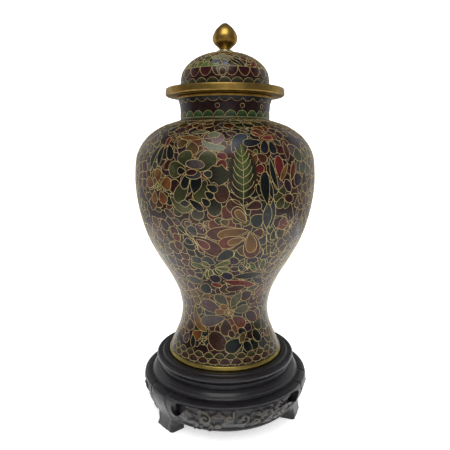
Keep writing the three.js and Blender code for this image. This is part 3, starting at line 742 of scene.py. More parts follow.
    def sheet(self):
        """Cuts the whole wall along every outline. Returns the points (azimuth, s), triangles and cell of each."""
        wide = math.pi * self.mean_radius
        high = self.line.length
        columns, rows = round(2 * wide / self.spacing), round(high / self.spacing)
        verts, edges, faces, owner = [], [], [], []
        for j in range(rows + 1):
            first = len(verts)
            s = high * j / rows
            shift = 0.5 if j % 2 else 0.0
            inner = [-wide + (i + shift) * 2 * wide / columns for i in range(columns + 1)]
            line = [-wide] + [u for u in inner if -wide + 0.3 < u < wide - 0.3] + [wide]
            verts += [Vector((u, s)) for u in line]
            if j in (0, rows):
                edges += [(k, k + 1) for k in range(first, len(verts) - 1)]
            if j:
                edges += [(previous[0], first), (previous[1], len(verts) - 1)]
            previous = (first, len(verts) - 1)
        for number, (points, _colours, _foot, _tip) in enumerate(self.cells):
            middle = sum(p[0] for p in points) / len(points)
            for turn in (0, 360 if middle < 0 else -360):
                if turn and abs(abs(middle) - 180) > 50:
                    continue
                faces.append(list(range(len(verts), len(verts) + len(points))))
                owner.append(number)
                verts += counter_clockwise([self.flat((p[0] + turn, p[1])) for p in points])
        points, _e, triangles, _v, _oe, inside = delaunay_2d_cdt(verts, edges, faces, 0, 1e-4, True)
        cut, cells = [], []
        for face, over in zip(triangles, inside):
            for corners in [(face[0], face[k], face[k + 1]) for k in range(1, len(face) - 1)]:
                u = sum(points[k].x for k in corners) / 3
                s = sum(points[k].y for k in corners) / 3
                if abs(u) < wide and 0 < s < high:
                    cut.append(corners)
                    cells.append(owner[max(over)] if over else -1)
        spots = np.array([(math.degrees(p.x / self.mean_radius), p.y) for p in points])
        return spots, cut, cells

    def surface(self, name, material, body, slot, replaced, depth=0.8):
        """The enamel wall as one mesh with a pigment colour for each cell, and the lines between its cells."""
        spots, triangles, cells = self.sheet()
        points, _normals = self.line.wrap(spots[:, 0], spots[:, 1])
        verts = [tuple(p) for p in points]
        faces = list(triangles)
        sides = {}
        for number, corners in enumerate(triangles):
            for k in range(3):
                sides.setdefault(tuple(sorted((corners[k], corners[k - 1]))), []).append(number)
        # The wall turns in at its two ends, behind the metal rings.
        lip = {}
        for (a, b), owners in sides.items():
            level = spots[a][1]
            at_end = len(owners) == 1 and level == spots[b][1] and (level < 0.01 or level > self.line.length - 0.01)
            if not at_end:
                continue
            for k in (a, b):
                if k not in lip:
                    r = float(self.line.at(level)[0])
                    shrink = (r - depth) / r
                    lip[k] = len(verts)
                    verts.append((verts[k][0] * shrink, verts[k][1] * shrink, verts[k][2]))
            faces.append((a, b, lip[b], lip[a]))
            cells.append(-1)
        piece = new_piece(name, verts, faces, material, body, replaced)
        mesh = piece.data
        colour = mesh.color_attributes.new(name="Pigment", type="FLOAT_COLOR", domain="CORNER")
        ground = pigment(INKS["ground"][0])
        data = np.ones((len(mesh.loops), 4), np.float32)
        u = np.zeros((len(mesh.loops), 2), np.float32)
        for face, owner in zip(mesh.polygons, cells):
            for loop, index in zip(face.loop_indices, face.vertices):
                at = spots[index] if index < len(spots) else None
                if owner < 0 or at is None:
                    data[loop, :3] = ground
                else:
                    _points, (foot_colour, tip_colour), foot, tip = self.cells[owner]
                    scale = math.radians(1) * float(self.mean_radius)
                    dx, dy = (tip[0] - foot[0]) * scale, tip[1] - foot[1]
                    turn = round((foot[0] - at[0]) / 360) * 360
                    along = ((at[0] + turn - foot[0]) * scale * dx + (at[1] - foot[1]) * dy) / (dx * dx + dy * dy)
                    t = min(1.0, max(0.0, along))
                    data[loop, :3] = (1 - t) * foot_colour + t * tip_colour
                if at is not None:
                    u[loop] = ((at[0] + 180) / 360, 0.01 + 0.98 * at[1] / self.line.length)
                else:
                    co = mesh.vertices[index].co
                    azimuth = math.degrees(math.atan2(co.x, -co.y))
                    below = co.z < 0.5 * sum(self.line.points[[0, -1], 1]) * MM
                    u[loop] = ((azimuth + 180) / 360, 0.0 if below else 1.0)
        colour.data.foreach_set("color", data.ravel())
        layer = mesh.uv_layers.new(name="OFBake")
        layer.data.foreach_set("uv", u.ravel())
        bm = bmesh.new()
        bm.from_mesh(mesh)
        bmesh.ops.remove_doubles(bm, verts=bm.verts, dist=MERGE * MM)
        loose = [v for v in bm.verts if not v.link_faces]
        bmesh.ops.delete(bm, geom=loose, context="VERTS")
        bmesh.ops.recalc_face_normals(bm, faces=bm.faces)
        bm.to_mesh(mesh)
        bm.free()
        self.true_normals(mesh)
        borders = []
        for pair, owners in sides.items():
            if len(owners) == 2 and cells[owners[0]] != cells[owners[1]]:
                if not self.plain.intersection((cells[owners[0]], cells[owners[1]])):
                    borders.append(pair)
        return piece, spots, borders

    def true_normals(self, mesh):
        """Normals of the smooth turned wall on every point."""
        co = np.array([v.co for v in mesh.vertices]) / MM
        heights = self.line.at(self.line.s)[1]
        s = np.interp(co[:, 2], heights, self.line.s)
        azimuth = np.degrees(np.arctan2(co[:, 0], -co[:, 1]))
        _points, normals = self.line.wrap(azimuth, s)
        mesh.normals_split_custom_set_from_vertices([tuple(n) for n in normals])


def chains(borders):
    """Joins edges into runs that end where three or more meet."""
    near = {}
    for a, b in borders:
        near.setdefault(a, []).append(b)
        near.setdefault(b, []).append(a)
    used, runs = set(), []

    def follow(a, b):
        run = [a, b]
        used.add(frozenset((a, b)))
        while len(near[run[-1]]) == 2:
            onward = [n for n in near[run[-1]] if frozenset((run[-1], n)) not in used]
            if not onward:
                break
            used.add(frozenset((run[-1], onward[0])))
            run.append(onward[0])
        return run

    for wanted in (lambda n: n != 2, lambda n: True):
        for a in near:
            if wanted(len(near[a])):
                for b in near[a]:
                    if frozenset((a, b)) not in used:
                        runs.append(follow(a, b))
    return runs


def wire_work(name, drawing, runs, material, body, width=0.5, rise=0.13, least=0.6):
    """Gilt wires along runs of points (azimuth, s): three-sided, seated in the enamel, a little proud of it."""
    verts, faces = [], []
    for run in runs:
        kept = [run[0]]
        for point in run[1:-1]:
            gap = math.hypot((point[0] - kept[-1][0]) * 0.9, point[1] - kept[-1][1])
            if gap > least:
                kept.append(point)
        kept.append(run[-1])
        if len(kept) > 2 and math.dist(kept[-1], kept[-2]) < 0.5 * least:
            kept.pop(-2)
        spots = np.array(kept)
        if len(spots) < 2 or np.ptp(spots[:, 0]) > 300 or np.hypot(*(spots[0] - spots[-1])) < 1e-4 and len(spots) < 4:
            continue
        inner = (spots[:, 1] > 0.15) & (spots[:, 1] < drawing.line.length - 0.15)
        if inner.sum() < 2:
            continue
        spots = spots[inner]
        points, normals = drawing.line.wrap(spots[:, 0], spots[:, 1])
        along = np.gradient(points, axis=0)
        if np.hypot(*(spots[0] - spots[-1])) < 1e-4:
            along[0] = along[-1] = along[0] + along[-1]
        size = np.linalg.norm(along, axis=1)
        if size.min() < 1e-9:
            continue
        along /= size[:, None]
        across = np.cross(along, normals)
        first = len(verts)
        for p, n, c in zip(points, normals, across):
            verts += [p + c * width / 2 * MM - n * WIRE_SEAT * MM, p + n * rise * MM,
                      p - c * width / 2 * MM - n * WIRE_SEAT * MM]
        for k in range(len(points) - 1):
            here, there = first + 3 * k, first + 3 * k + 3
            for j in range(3):
                m = (j + 1) % 3
                faces.append((here + j, here + m, there + m, there + j))
        last = len(verts) - 3
        faces += [(first + 2, first + 1, first), (last, last + 1, last + 2)]
    piece = new_piece(name, verts, faces, material, body)
    low, high = drawing.line.points[0][1], drawing.line.points[-1][1]
    bake_layout(piece, lambda co: ((math.atan2(co.x, -co.y) / math.pi + 1) / 2, (co.z - low) / (high - low)))
    return piece


def enamel_and_wires(drawing, name, body, replaced, width=0.5):
    """The wall's enamel and its wires."""
    _piece, spots, borders = drawing.surface(name, MATERIALS["enamel"], body, "enamel", replaced)
    runs = [[tuple(spots[k]) for k in run] for run in chains(borders)]
    runs += [[tuple(p) for p in run] for run in drawing.lines]
    return wire_work(name + "_wires", drawing, runs, MATERIALS["wire"], body, width)


# ---- Settings ----
class EnamelSettings(bpy.types.PropertyGroup):
    """What a user would change on the enamel."""

    wire_width: bpy.props.FloatProperty(
        name="Wire width", description="Width of the gilt wires, in mm", default=0.38, min=0.2, max=1.2)
    spacing: bpy.props.FloatProperty(
        name="Mesh spacing", description="Distance between the points of the wall between outlines, in mm",
        default=2.3, min=1.0, max=6.0)
    small_flowers_apart: bpy.props.FloatProperty(
        name="Small flowers apart", description="Distance between the small flowers of the ground, in mm",
        default=13.5, min=4.0)
    small_flower_size: bpy.props.FloatProperty(
        name="Small flower size", description="Length of their petals, in mm", default=9.0, min=1.0)
    neck_scallops: bpy.props.IntProperty(
        name="Neck scallops", description="Bright green scallops round the neck", default=26, min=3)
    neck_rings: bpy.props.IntProperty(
        name="Neck rings", description="Small rings round the middle of the neck", default=12, min=3)
    foot_scales: bpy.props.IntProperty(
        name="Foot scales", description="Scales in each row round the foot", default=32, min=3)


class StandSettings(bpy.types.PropertyGroup):
    """What a user would change on the stand."""

    leg_width: bpy.props.FloatProperty(
        name="Leg width", description="Between the two sides of a leg, in mm", default=20.6, min=5.0)
    joint: bpy.props.FloatProperty(
        name="Joint", description="Gap between a leg and an apron, in mm", default=0.3, min=0.0)
    relief: bpy.props.FloatProperty(
        name="Relief", description="Height of the carving, in mm", default=1.8, min=0.0)
    wall: bpy.props.FloatProperty(name="Wall", description="Thickness of the aprons, in mm", default=5.5, min=1.0)


class StageSettings(bpy.types.PropertyGroup):
    """Camera and light."""

    camera_place: bpy.props.FloatVectorProperty(
        name="Camera place", description="Where the camera stands", size=3, default=(0.0, -0.3645, 0.2129),
        subtype="TRANSLATION", unit="LENGTH")
    camera_pitch: bpy.props.FloatProperty(
        name="Camera pitch", description="How far the camera looks down", default=math.radians(9.75), subtype="ANGLE")
    lens: bpy.props.FloatProperty(name="Lens", description="Focal length in mm", default=37.24, min=1.0)
    floor: bpy.props.FloatVectorProperty(
        name="Floor colour", description="Colour of the floor", size=3, default=(0.9, 0.9, 0.9), subtype="COLOR")


# ---- Places on the enamel, in mm ----
WALL_MEAN_RADIUS = 52.0  # of the body's wall where it is drawn flat
DOME_MEAN_RADIUS = 28.0
DOME_SPACING = 1.9  # between the points of the dome between outlines
NECK_ROOT_Z = 231.3
ROOT_PETALS = 44  # round the neck's root


# ---- Operators ----
class VASE_OT_finishes(bpy.types.Operator):
    """Makes the materials and puts them on the inner parts."""

    bl_idname = "vase.finishes"
    bl_label = "Finishes and inner parts"

    def execute(self, context):
        make_materials()
        inner = {
            "copper": ("lower_shell", "upper_shell", "neck_shell", "lid_shell"),
            "lining": ("body_lining", "lid_lining"),
            "brass": ("base_plate", "lid_spigot"),
            "steel": ("finial_stud", "finial_nut"),
            "wood": ("stand_panel",),
            "dowel": tuple(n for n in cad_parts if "dowel" in n),
        }
        for finish, names in inner.items():
            for name in names:
                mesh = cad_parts[name].data
                mesh.materials.clear()
                mesh.materials.append(MATERIALS[finish])
        return {"FINISHED"}


class VASE_OT_body_enamel(bpy.types.Operator):
    """Draws the garden on the vase and cuts its wall into cells and wires."""

    bl_idname = "vase.body_enamel"
    bl_label = "Body enamel and wires"

    def execute(self, context):
        settings = context.scene.enamel_settings
        line = outer_line(*BODY_ENAMEL)
        wall = Drawing(line, WALL_MEAN_RADIUS, settings.spacing)
        neck = float(np.interp(NECK_ROOT_Z, line.points[:, 1], line.s))
        wall.undergrowth(13, neck - 6, settings.small_flowers_apart, settings.small_flower_size)
        for turn, mirrored in REPEATS:
            side = -1 if mirrored else 1
            for (azimuth, s), rows in GARDEN:
                wall.flower(turn + side * azimuth, s, rows, mirrored)
            wall.veined_leaf(*BIG_LEAF, mirrored, turn)
            for azimuth, s, rays, reach in STARS:
                wall.star(turn + side * azimuth, s, rays, reach)
            for stem in STEMS:
                wall.stroke([(turn + side * a, s) for a, s in stem])
        self.foot_border(wall, settings.foot_scales)
        self.neck_border(wall, neck, settings)
        enamel_and_wires(wall, "body_enamel", "vase", BODY_ENAMEL, settings.wire_width)
        return {"FINISHED"}

    def foot_border(self, wall, count):
        """Three rows of scales, the lowest half hidden by the foot ring."""
        wall.band(-1, 5.0, "scale_maroon")
        wall.scallops(count, 5.0, 4.6, "scale_green", 0.5)
        wall.scallops(count, 1.2, 4.8, "scale_maroon", 0.0)
        wall.scallops(count, -2.8, 4.8, "scale_green", 0.5)

    def neck_border(self, wall, neck, settings):
        """Petals at the neck's root, green scallops, rings, and hanging scallops under the lip."""
        top = wall.line.length
        wall.band(neck - 5.0, neck - 1.0, "red_dark")
        for k in range(ROOT_PETALS):
            colour = ("ink_green", "red", "umber", "ink_black")[k % 4]
            wall.petal(k * 360 / ROOT_PETALS, neck - 1.5, ("round", 0, 0, 268, 4.4, 4.6, colour))
        wall.band(neck - 1.0, neck + 0.5, "olive_dark")
        wall.band(neck + 0.5, neck + 1.5, "neck_line")
        wall.band(neck + 1.5, top + 1, "ground")
        wall.scallops(settings.neck_scallops, neck + 1.5, 4.4, "neck_green", 0.5, fill=0.98)
        wall.scallops(settings.neck_scallops, top + 0.4, 4.0, "neck_dark", 0.0, hang=True)
        middle = neck + 9.0
        for k in range(settings.neck_rings):
            azimuth = -9 + k * 360 / settings.neck_rings
            wall.petal(azimuth, middle, ("round", -1.6, 0, 0, 3.2, 3.2, "red_dark"))


class VASE_OT_lid_enamel(bpy.types.Operator):
    """Draws the lid's pattern and cuts the dome into cells and wires."""

    bl_idname = "vase.lid_enamel"
    bl_label = "Lid enamel and wires"

    def execute(self, context):
        settings = context.scene.enamel_settings
        line = outer_line("lid_enamel")
        dome = Drawing(line, DOME_MEAN_RADIUS, DOME_SPACING)
        dome.undergrowth(9, line.length - 3, 8.5, 5.0)
        for turn in (0, 120, -120):
            for azimuth, s, rows in (
                (-24, 15, (("wavy", -6, -3, 20, 9, 6, "dome_green"), ("petal", 1, 0, 340, 8, 6, "dome_green"),
                           ("petal", -2, 3, 80, 6, 6, "leaf_green"), ("petal", -3, 1, 200, 8, 6, "dome_green"))),
                (-5, 18, (("petal", 0, 0, 200, 7, 5, "sky"), ("petal", 0, 0, 320, 6, 5, "sky"),
                          ("petal", 0, 1, 90, 8, 6, "cream"), ("petal", 1, 1, 30, 7, 5, "cream"),
                          ("petal", -1, 1, 150, 7, 5, "cream"), ("round", -1, 0, 0, 2, 2, "navy"))),
                (10, 15, (("wavy", -4, 0, 0, 9, 7, "olive"), ("petal", 2, 2, 70, 7, 5, "olive_pale"))),
                (20, 17, (("leaf", -5, 5, 310, 14, 4, "ink_black"), ("leaf", -8, 3, 320, 12, 3, "ink_green"))),
                (40, 10, (("petal", -3, 0, 15, 9, 4, "umber_red"), ("petal", -3, 2, 40, 9, 4, "russet"),
                          ("petal", -3, -2, 350, 9, 4, "wine"))),
                (-48, 9, (("leaf", 0, 0, 60, 10, 4, "leaf_green"), ("leaf", 0, 0, 120, 9, 4, "dome_green"),
                          ("leaf", 0, 0, 90, 11, 4, "olive_pale"))),
            ):
                dome.flower(turn + azimuth, s, rows)
        dome.band(1.0, 12.4, "ground")
        dome.scallops(22, 12.4, 6.6, "red_dark", 0.5, hang=True, fill=0.98)
        for azimuth in (-3, 117, -123):
            dome.petal(azimuth, 4.6, ("petal", 0, 0, 90, 9, 8, "olive_pale"))
            dome.petal(azimuth, 6.0, ("round", 0, 0, 90, 5.6, 4.8, "umber"))
        dome.band(-1, 1.2, "umber_red")
        dome.scallops(24, 0.6, 4.2, "olive", 0.0)
        enamel_and_wires(dome, "lid_dome_enamel", "lid", ("lid_enamel",), settings.wire_width)
        return {"FINISHED"}


class VASE_OT_fittings(bpy.types.Operator):
    """Turns the brass foot ring, mouth ring, flange, collar and finial."""

    bl_idname = "vase.fittings"
    bl_label = "Brass fittings"

    def execute(self, context):
        ring = FOOT_RING
        crown = [(ring.inner, ring.low), (ring.outer - 0.7, ring.low), (ring.outer - 0.1, ring.low + 1.4),
                 (ring.outer, 0.5 * (ring.low + ring.high)), (ring.outer - 0.5, ring.high - 0.7),
                 (ring.outer - 1.4, ring.high), (ring.inner, ring.high)]
        turned_piece("foot_band", rounded(crown, 0.8, 5), MATERIALS["foot"], "vase", ("foot_ring",),
                     160, 1.2)
        ring = MOUTH_RING
        lip = [(ring.inner, ring.low), (ring.outer - 0.3, ring.low), (ring.outer, ring.low + 0.8),
               (ring.outer - 0.2, ring.high), (ring.inner, ring.high)]
        turned_piece("mouth_band", rounded(lip, 0.5), MATERIALS["brass"], "vase", ("mouth_ring",), 128, 1.2)
        ring = FLANGE
        rim = [(ring.inner, ring.low), (ring.outer - 1.2, ring.low), (ring.outer, ring.low + 1.0),
               (ring.outer - 0.15, ring.high - 0.7), (ring.outer - 0.9, ring.high), (ring.inner, ring.high)]
        turned_piece("lid_rim", rounded(rim, 0.7, 5), MATERIALS["brass"], "lid", ("lid_flange",), 160, 1.2)
        ring = COLLAR
        disc = [(ring.inner, ring.low), (ring.outer, ring.low), (ring.outer, ring.high), (ring.inner, ring.high)]
        turned_piece("finial_disc", rounded(disc, 0.45), MATERIALS["pale"], "lid", ("finial_collar",),
                     96, 1.2)
        self.finial()
        return {"FINISHED"}

    def finial(self):
        """The drop-shaped knob, with a socket for its stud."""
        line = outer_line("lid_finial")
        bore = Turned("finial_stud")
        radius, height = line.at(np.linspace(0, line.length, 60))
        outer = [(max(r, 0.05), z) for r, z in zip(radius, height)]
        socket = [(0.05, bore.high + 0.3), (bore.outer + 0.3, bore.high + 0.3), (bore.outer + 0.3, height[0])]
        turned_piece("finial_drop", outer + socket, MATERIALS["finial"], "lid", ("lid_finial",), 96, 1.2)


class VASE_OT_turned_wood(bpy.types.Operator):
    """Turns the stand's rim and shoulder."""

    bl_idname = "vase.turned_wood"
    bl_label = "Turned rim and shoulder"

    def execute(self, context):
        r, top, low = RIM.outer, RIM.high, RIM.low
        recess = PANEL.outer + 0.3
        floor = PANEL.low
        rim = [(RIM.inner, low), (r - 3.2, low), (r - 2.8, low + 0.8), (r - 1.1, low + 1.7), (r - 0.1, low + 3.0),
               (r - 0.1, low + 4.4), (r - 0.6, top - 1.4), (r - 1.4, top - 1.0), (r - 4.6, top - 0.9),
               (r - 5.0, top - 0.5), (r - 5.8, top), (recess, top), (recess, floor), (RIM.inner, floor)]
        turned_piece("turned_rim", rounded(rim, 0.35, 4), MATERIALS["wood"], "stand",
                     ("stand_rim",), 160, 0.6)
        r, top, low = SHOULDER.outer, SHOULDER.high, SHOULDER.low
        shoulder = [(SHOULDER.inner, low), (r, low), (r - 0.1, low + 0.8), (r - 0.9, low + 1.3), (r - 1.0, low + 2.6),
                    (r - 2.8, low + 4.4), (r - 5.2, low + 5.6), (r - 6.6, low + 5.9), (r - 7.3, low + 7.2),
                    (r - 7.2, top - 0.6), (r - 6.8, top), (SHOULDER.inner, top)]
        turned_piece("turned_shoulder", rounded(shoulder, 0.4, 4), MATERIALS["wood"], "stand",
                     ("stand_shoulder",), 160, 0.6)
        return {"FINISHED"}


# Sizes of the carved wood, in mm
RAIL_RADIUS = 57.0  # lower edge of the aprons
LEG_FOOT_RADIUS, ANKLE_RADIUS = 62.0, 60.8
BACK_RADIUS = 51.0  # nearest that the legs' and aprons' backs come to the axis
HEAD_SET = 7.0  # how much further in the leg's head stands
HEAD_HEIGHT = 16
GROUND_SINK = 1.6  # of the ground between the carvings
PLAIN_END = 7.0  # uncarved length at an apron's ends
HALF_PITCH = 60  # degrees from a leg's middle to the next apron's


def bulge(z, widest, low_radius, low_z, top_z):
    """The outer radius of the legs and aprons at a height."""
    drop = top_z - low_z
    heights = [low_z, top_z - 0.66 * drop, top_z - 0.4 * drop, top_z - 4.7, top_z - 2.2, top_z - 0.4, top_z]
    radii = [low_radius, widest - 3, widest - 0.6, widest, widest - 0.6, widest - 2.7, widest - 5]
    slopes = np.gradient(radii, heights)
    k = int(np.clip(np.searchsorted(heights, z, side="right") - 1, 0, len(heights) - 2))
    span = heights[k + 1] - heights[k]
    t = (z - heights[k]) / span
    return eased(t, span, radii[k], radii[k + 1], slopes[k], slopes[k + 1])


def spiral(x, z, turn, radius, loops=1.2, hand=1, tail=0.0):
    """A scroll: a line that winds in to (x, z), after a straight tail."""
    points = []
    for k in range(15):
        t = k / 14
        a = math.radians(turn) + hand * 2 * math.pi * loops * t
        r = radius * (1 - 0.85 * t)
        points.append((x + r * math.cos(a), z + r * math.sin(a)))
    if tail:
        (x0, z0), (x1, z1) = points[0], points[1]
        size = math.dist(points[0], points[1])
        points.insert(0, (x0 + (x0 - x1) / size * tail, z0 + (z0 - z1) / size * tail))
    return points


# Carving of an apron, in mm from its middle and above the floor: scrolls, and leaves with foot, turn, length
# and width
SCROLLS = (
    spiral(-27, 22, 100, 5.0, 1.3, -1, 4), spiral(-18, 15.5, 200, 3.4, 1.2, 1, 4),
    spiral(-9, 24, 20, 3.2, 1.1, -1, 3),
    spiral(2, 22, 250, 4.4, 1.1, 1, 5), spiral(12, 17, 160, 3.8, 1.2, -1, 4), spiral(21, 23, 300, 4.0, 1.2, 1, 4),
    spiral(30, 17, 120, 3.6, 1.2, -1, 4), spiral(38, 21, 60, 4.0, 1.3, 1, 4), spiral(-37, 16, 300, 3.6, 1.2, 1, 4),
)
CARVED_LEAVES = (
    (-23, 24, 350, 14, 6), (-14, 18, 30, 10, 5), (-6, 17, 330, 11, 6), (-2, 15, 60, 12, 5), (6, 25, 340, 12, 5),
    (8, 13, 20, 10, 5), (16, 20, 50, 10, 5.5), (17, 14, 345, 12, 5), (24, 19, 20, 11, 5), (26, 25, 10, 10, 4.5),
    (33, 24, 330, 9, 4.5), (33, 14, 20, 10, 5), (-30, 14, 200, 9, 5), (-33, 24, 160, 10, 5), (-44, 14, 10, 10, 5),
    (-24, 15, 250, 8, 4.5), (42, 17, 330, 9, 5), (-42, 19, 80, 8, 5),
)


def carving(points, height):
    """Relief at points (across, up) of an apron: rounded scrolls and ribbed leaves."""
    relief = np.zeros(len(points))
    p = np.array(points)
    for run in SCROLLS:
        run = np.array(run)
        for a, b in zip(run[:-1], run[1:]):
            ab = b - a
            t = np.clip(((p - a) @ ab) / max(ab @ ab, 1e-9), 0, 1)
            d = np.linalg.norm(p - a - t[:, None] * ab, axis=1)
            relief = np.maximum(relief, np.sqrt(np.clip(1 - (d / 1.25) ** 2, 0, 1)))
    for x, z, turn, length, width in CARVED_LEAVES:
        a = math.radians(turn)
        along = (p[:, 0] - x) * math.cos(a) + (p[:, 1] - z) * math.sin(a)
        across = -(p[:, 0] - x) * math.sin(a) + (p[:, 1] - z) * math.cos(a)
        t = np.clip(along / length, 0, 1)
        across = across - 0.18 * length * np.sin(math.pi * t)
        side = 1 - (np.abs(across) / np.maximum(0.5 * width * np.sin(math.pi * t**0.8), 1e-3)) ** 2
        rib = 1 - 0.35 * np.exp(-((across / 0.35) ** 2))
        inside = (along > 0) & (along < length)
        relief = np.maximum(relief, np.where(inside, 0.9 * rib * np.sqrt(np.clip(side, 0, 1)), 0))
    return height * relief


class VASE_OT_carved_wood(bpy.types.Operator):
    """Carves the three aprons and the three legs."""

    bl_idname = "vase.carved_wood"
    bl_label = "Carved aprons and legs"

    def execute(self, context):
        settings = context.scene.stand_settings
        for name in LEGS:
            self.leg(name, settings)
        for leg, apron in zip(LEGS, APRONS):
            self.apron(apron, leg_azimuth(leg) + HALF_PITCH, settings)
        return {"FINISHED"}

    def holes(self, half):
        """Outlines of the pierced openings at the two ends of an apron."""
        left, right = -half, half
        top = APRON.high
        comma = [(left + 4, top - 10), (left + 4.5, top - 6.5), (left + 8, top - 4.4), (left + 13, top - 3.6),
                 (left + 18.5, top - 4), (left + 15.5, top - 7), (left + 13, top - 10.5), (left + 10, top - 14.5),
                 (left + 7, top - 15.4), (left + 4.4, top - 13.5)]
        arch = [(right - 21, top - 8.6), (right - 17, top - 5.4), (right - 11, top - 3.6), (right - 5.5, top - 3.6),
                (right - 3, top - 6.5), (right - 3.2, top - 11), (right - 5, top - 15), (right - 8.5, top - 13),
                (right - 13.5, top - 11)]
        return comma, arch

    def apron(self, name, azimuth, settings):
        """A curved panel between two legs, pierced at its ends and carved between them."""
        widest, low, top = LEG.outer - 0.4, APRON.low, APRON.high
        margin = settings.leg_width / 2 + settings.joint

        def edge(z):
            reach = math.radians(HALF_PITCH) - math.asin(margin / bulge(z, widest, RAIL_RADIUS, low, top))
            return reach * widest

        levels = np.linspace(low, top, 22)
        side = [(edge(z), z) for z in levels]
        bottom = [(x, low) for x in np.linspace(-edge(low), edge(low), 70)[1:-1]]
        upper = [(x, top) for x in np.linspace(edge(top), -edge(top), 70)[1:-1]]
        ring = [(-x, z) for x, z in side[:1]] + bottom + side + upper + [(-x, z) for x, z in side[::-1]][:-1]
        verts = counter_clockwise(ring)
        faces = [list(range(len(ring)))]
        for hole in self.holes(edge(0.5 * (low + top))):
            smooth = rounded(hole, 1.4, 4)
            faces.append(list(range(len(verts), len(verts) + len(smooth))))
            verts += counter_clockwise(smooth)
        step = 0.8
        for j in range(1, int((top - low) / step) + 1):
            for i in range(-int(edge(low) / step) - 2, int(edge(low) / step) + 3):
                x, z = (i + 0.5 * (j % 2)) * step, low + j * step
                if z < top - 0.3 and abs(x) < edge(z) - 0.3:
                    verts.append(Vector((x, z)))
        points, _e, triangles, _v, _oe, inside = delaunay_2d_cdt(verts, [], faces, 0, 1e-4, True)
        kept = [face for face, over in zip(triangles, inside) if over and max(over) == 0]
        flat = [(p.x, p.y) for p in points]
        relief = carving(flat, settings.relief)
        rubbed = np.clip(relief / settings.relief, 0, 1) ** 3
        outer, inner = [], []
        for (x, z), lift in zip(flat, relief):
            a = math.radians(azimuth) + x / widest
            fade = (min(1.0, max(0.0, (edge(z) - abs(x) - PLAIN_END) / 2.0))
                    * min(1.0, max(0.0, (top - 1.5 - z) / 2.0)))
            bead = 0.8 * math.sqrt(max(0.0, 1 - ((z - low - 1.5) / 1.5) ** 2))
            ground = GROUND_SINK
            if not low + 3 < z < top - 4:
                ground *= max(0.0, 1 - min(abs(z - low - 3), abs(z - top + 4)) / 1.2)
            r = bulge(z, widest, RAIL_RADIUS, low, top) - ground * fade + lift * fade + bead * 0.3 * fade - 0.25
            if z > TONGUE.low - 0.6 and abs(x) > edge(z) - 7.5:
                r = max(r, TONGUE.outer + 0.5)
            outer.append((r * math.sin(a) * MM, -r * math.cos(a) * MM, z * MM))
            r = max(bulge(z, widest, RAIL_RADIUS, low, top) - settings.wall, BACK_RADIUS)
            inner.append((r * math.sin(a) * MM, -r * math.cos(a) * MM, z * MM))
        count = len(outer)
        mesh_faces = [tuple(f) for f in kept] + [tuple(k + count for k in f[::-1]) for f in kept]
        sides = {}
        for face in kept:
            for k in range(len(face)):
                sides.setdefault(frozenset((face[k], face[k - 1])), []).append((face[k - 1], face[k]))
        for pairs in sides.values():
            if len(pairs) == 1:
                a, b = pairs[0]
                mesh_faces.append((b, a, a + count, b + count))
        piece = new_piece(name.replace("stand_", "carved_"), outer + inner, mesh_faces, MATERIALS["carved"], "stand",
                          (name,))
        self.rub(piece, np.r_[rubbed, np.zeros(count)])
        self.clean(piece)

    def rub(self, piece, amounts):
        """Marks where the lacquer is worn."""
        layer = piece.data.color_attributes.new(name="Rubbed", type="FLOAT_COLOR", domain="POINT")
        colours = np.ones((len(amounts), 4), np.float32)
        colours[:, :3] = np.asarray(amounts)[:, None]
        layer.data.foreach_set("color", colours.ravel())

    def clean(self, piece):
        """Drops loose points and turns the faces outward."""
        bm = bmesh.new()
        bm.from_mesh(piece.data)
        bmesh.ops.delete(bm, geom=[v for v in bm.verts if not v.link_faces], context="VERTS")
        bmesh.ops.recalc_face_normals(bm, faces=bm.faces)
        bm.to_mesh(piece.data)
        bm.free()
        soften(piece, 0.8)

    def leg(self, name, settings):
        """A cabriole leg: its section along the wall, carried across its width and rounded at its sides."""
        azimuth = math.radians(leg_azimuth(name))
        top, foot, ankle = LEG.high, LEG_FOOT_RADIUS, ANKLE_RADIUS
        widest = LEG.outer
        ankle_z = APRON.low + 2.5
        heights = np.r_[np.linspace(0, ankle_z, 9), np.linspace(ankle_z, top, 30)[1:]]

        def front(z):
            if z > ankle_z:
                return bulge(z, widest, ankle, ankle_z, top)
            t = z / ankle_z
            return foot - (foot - ankle) * math.sin(math.pi / 2 * t)

        def back(z):
            head = top - HEAD_HEIGHT
            t = min(1.0, max(0.0, (z - head + 4) / 8))
            return BACK_RADIUS - HEAD_SET * t * t * (3 - 2 * t)

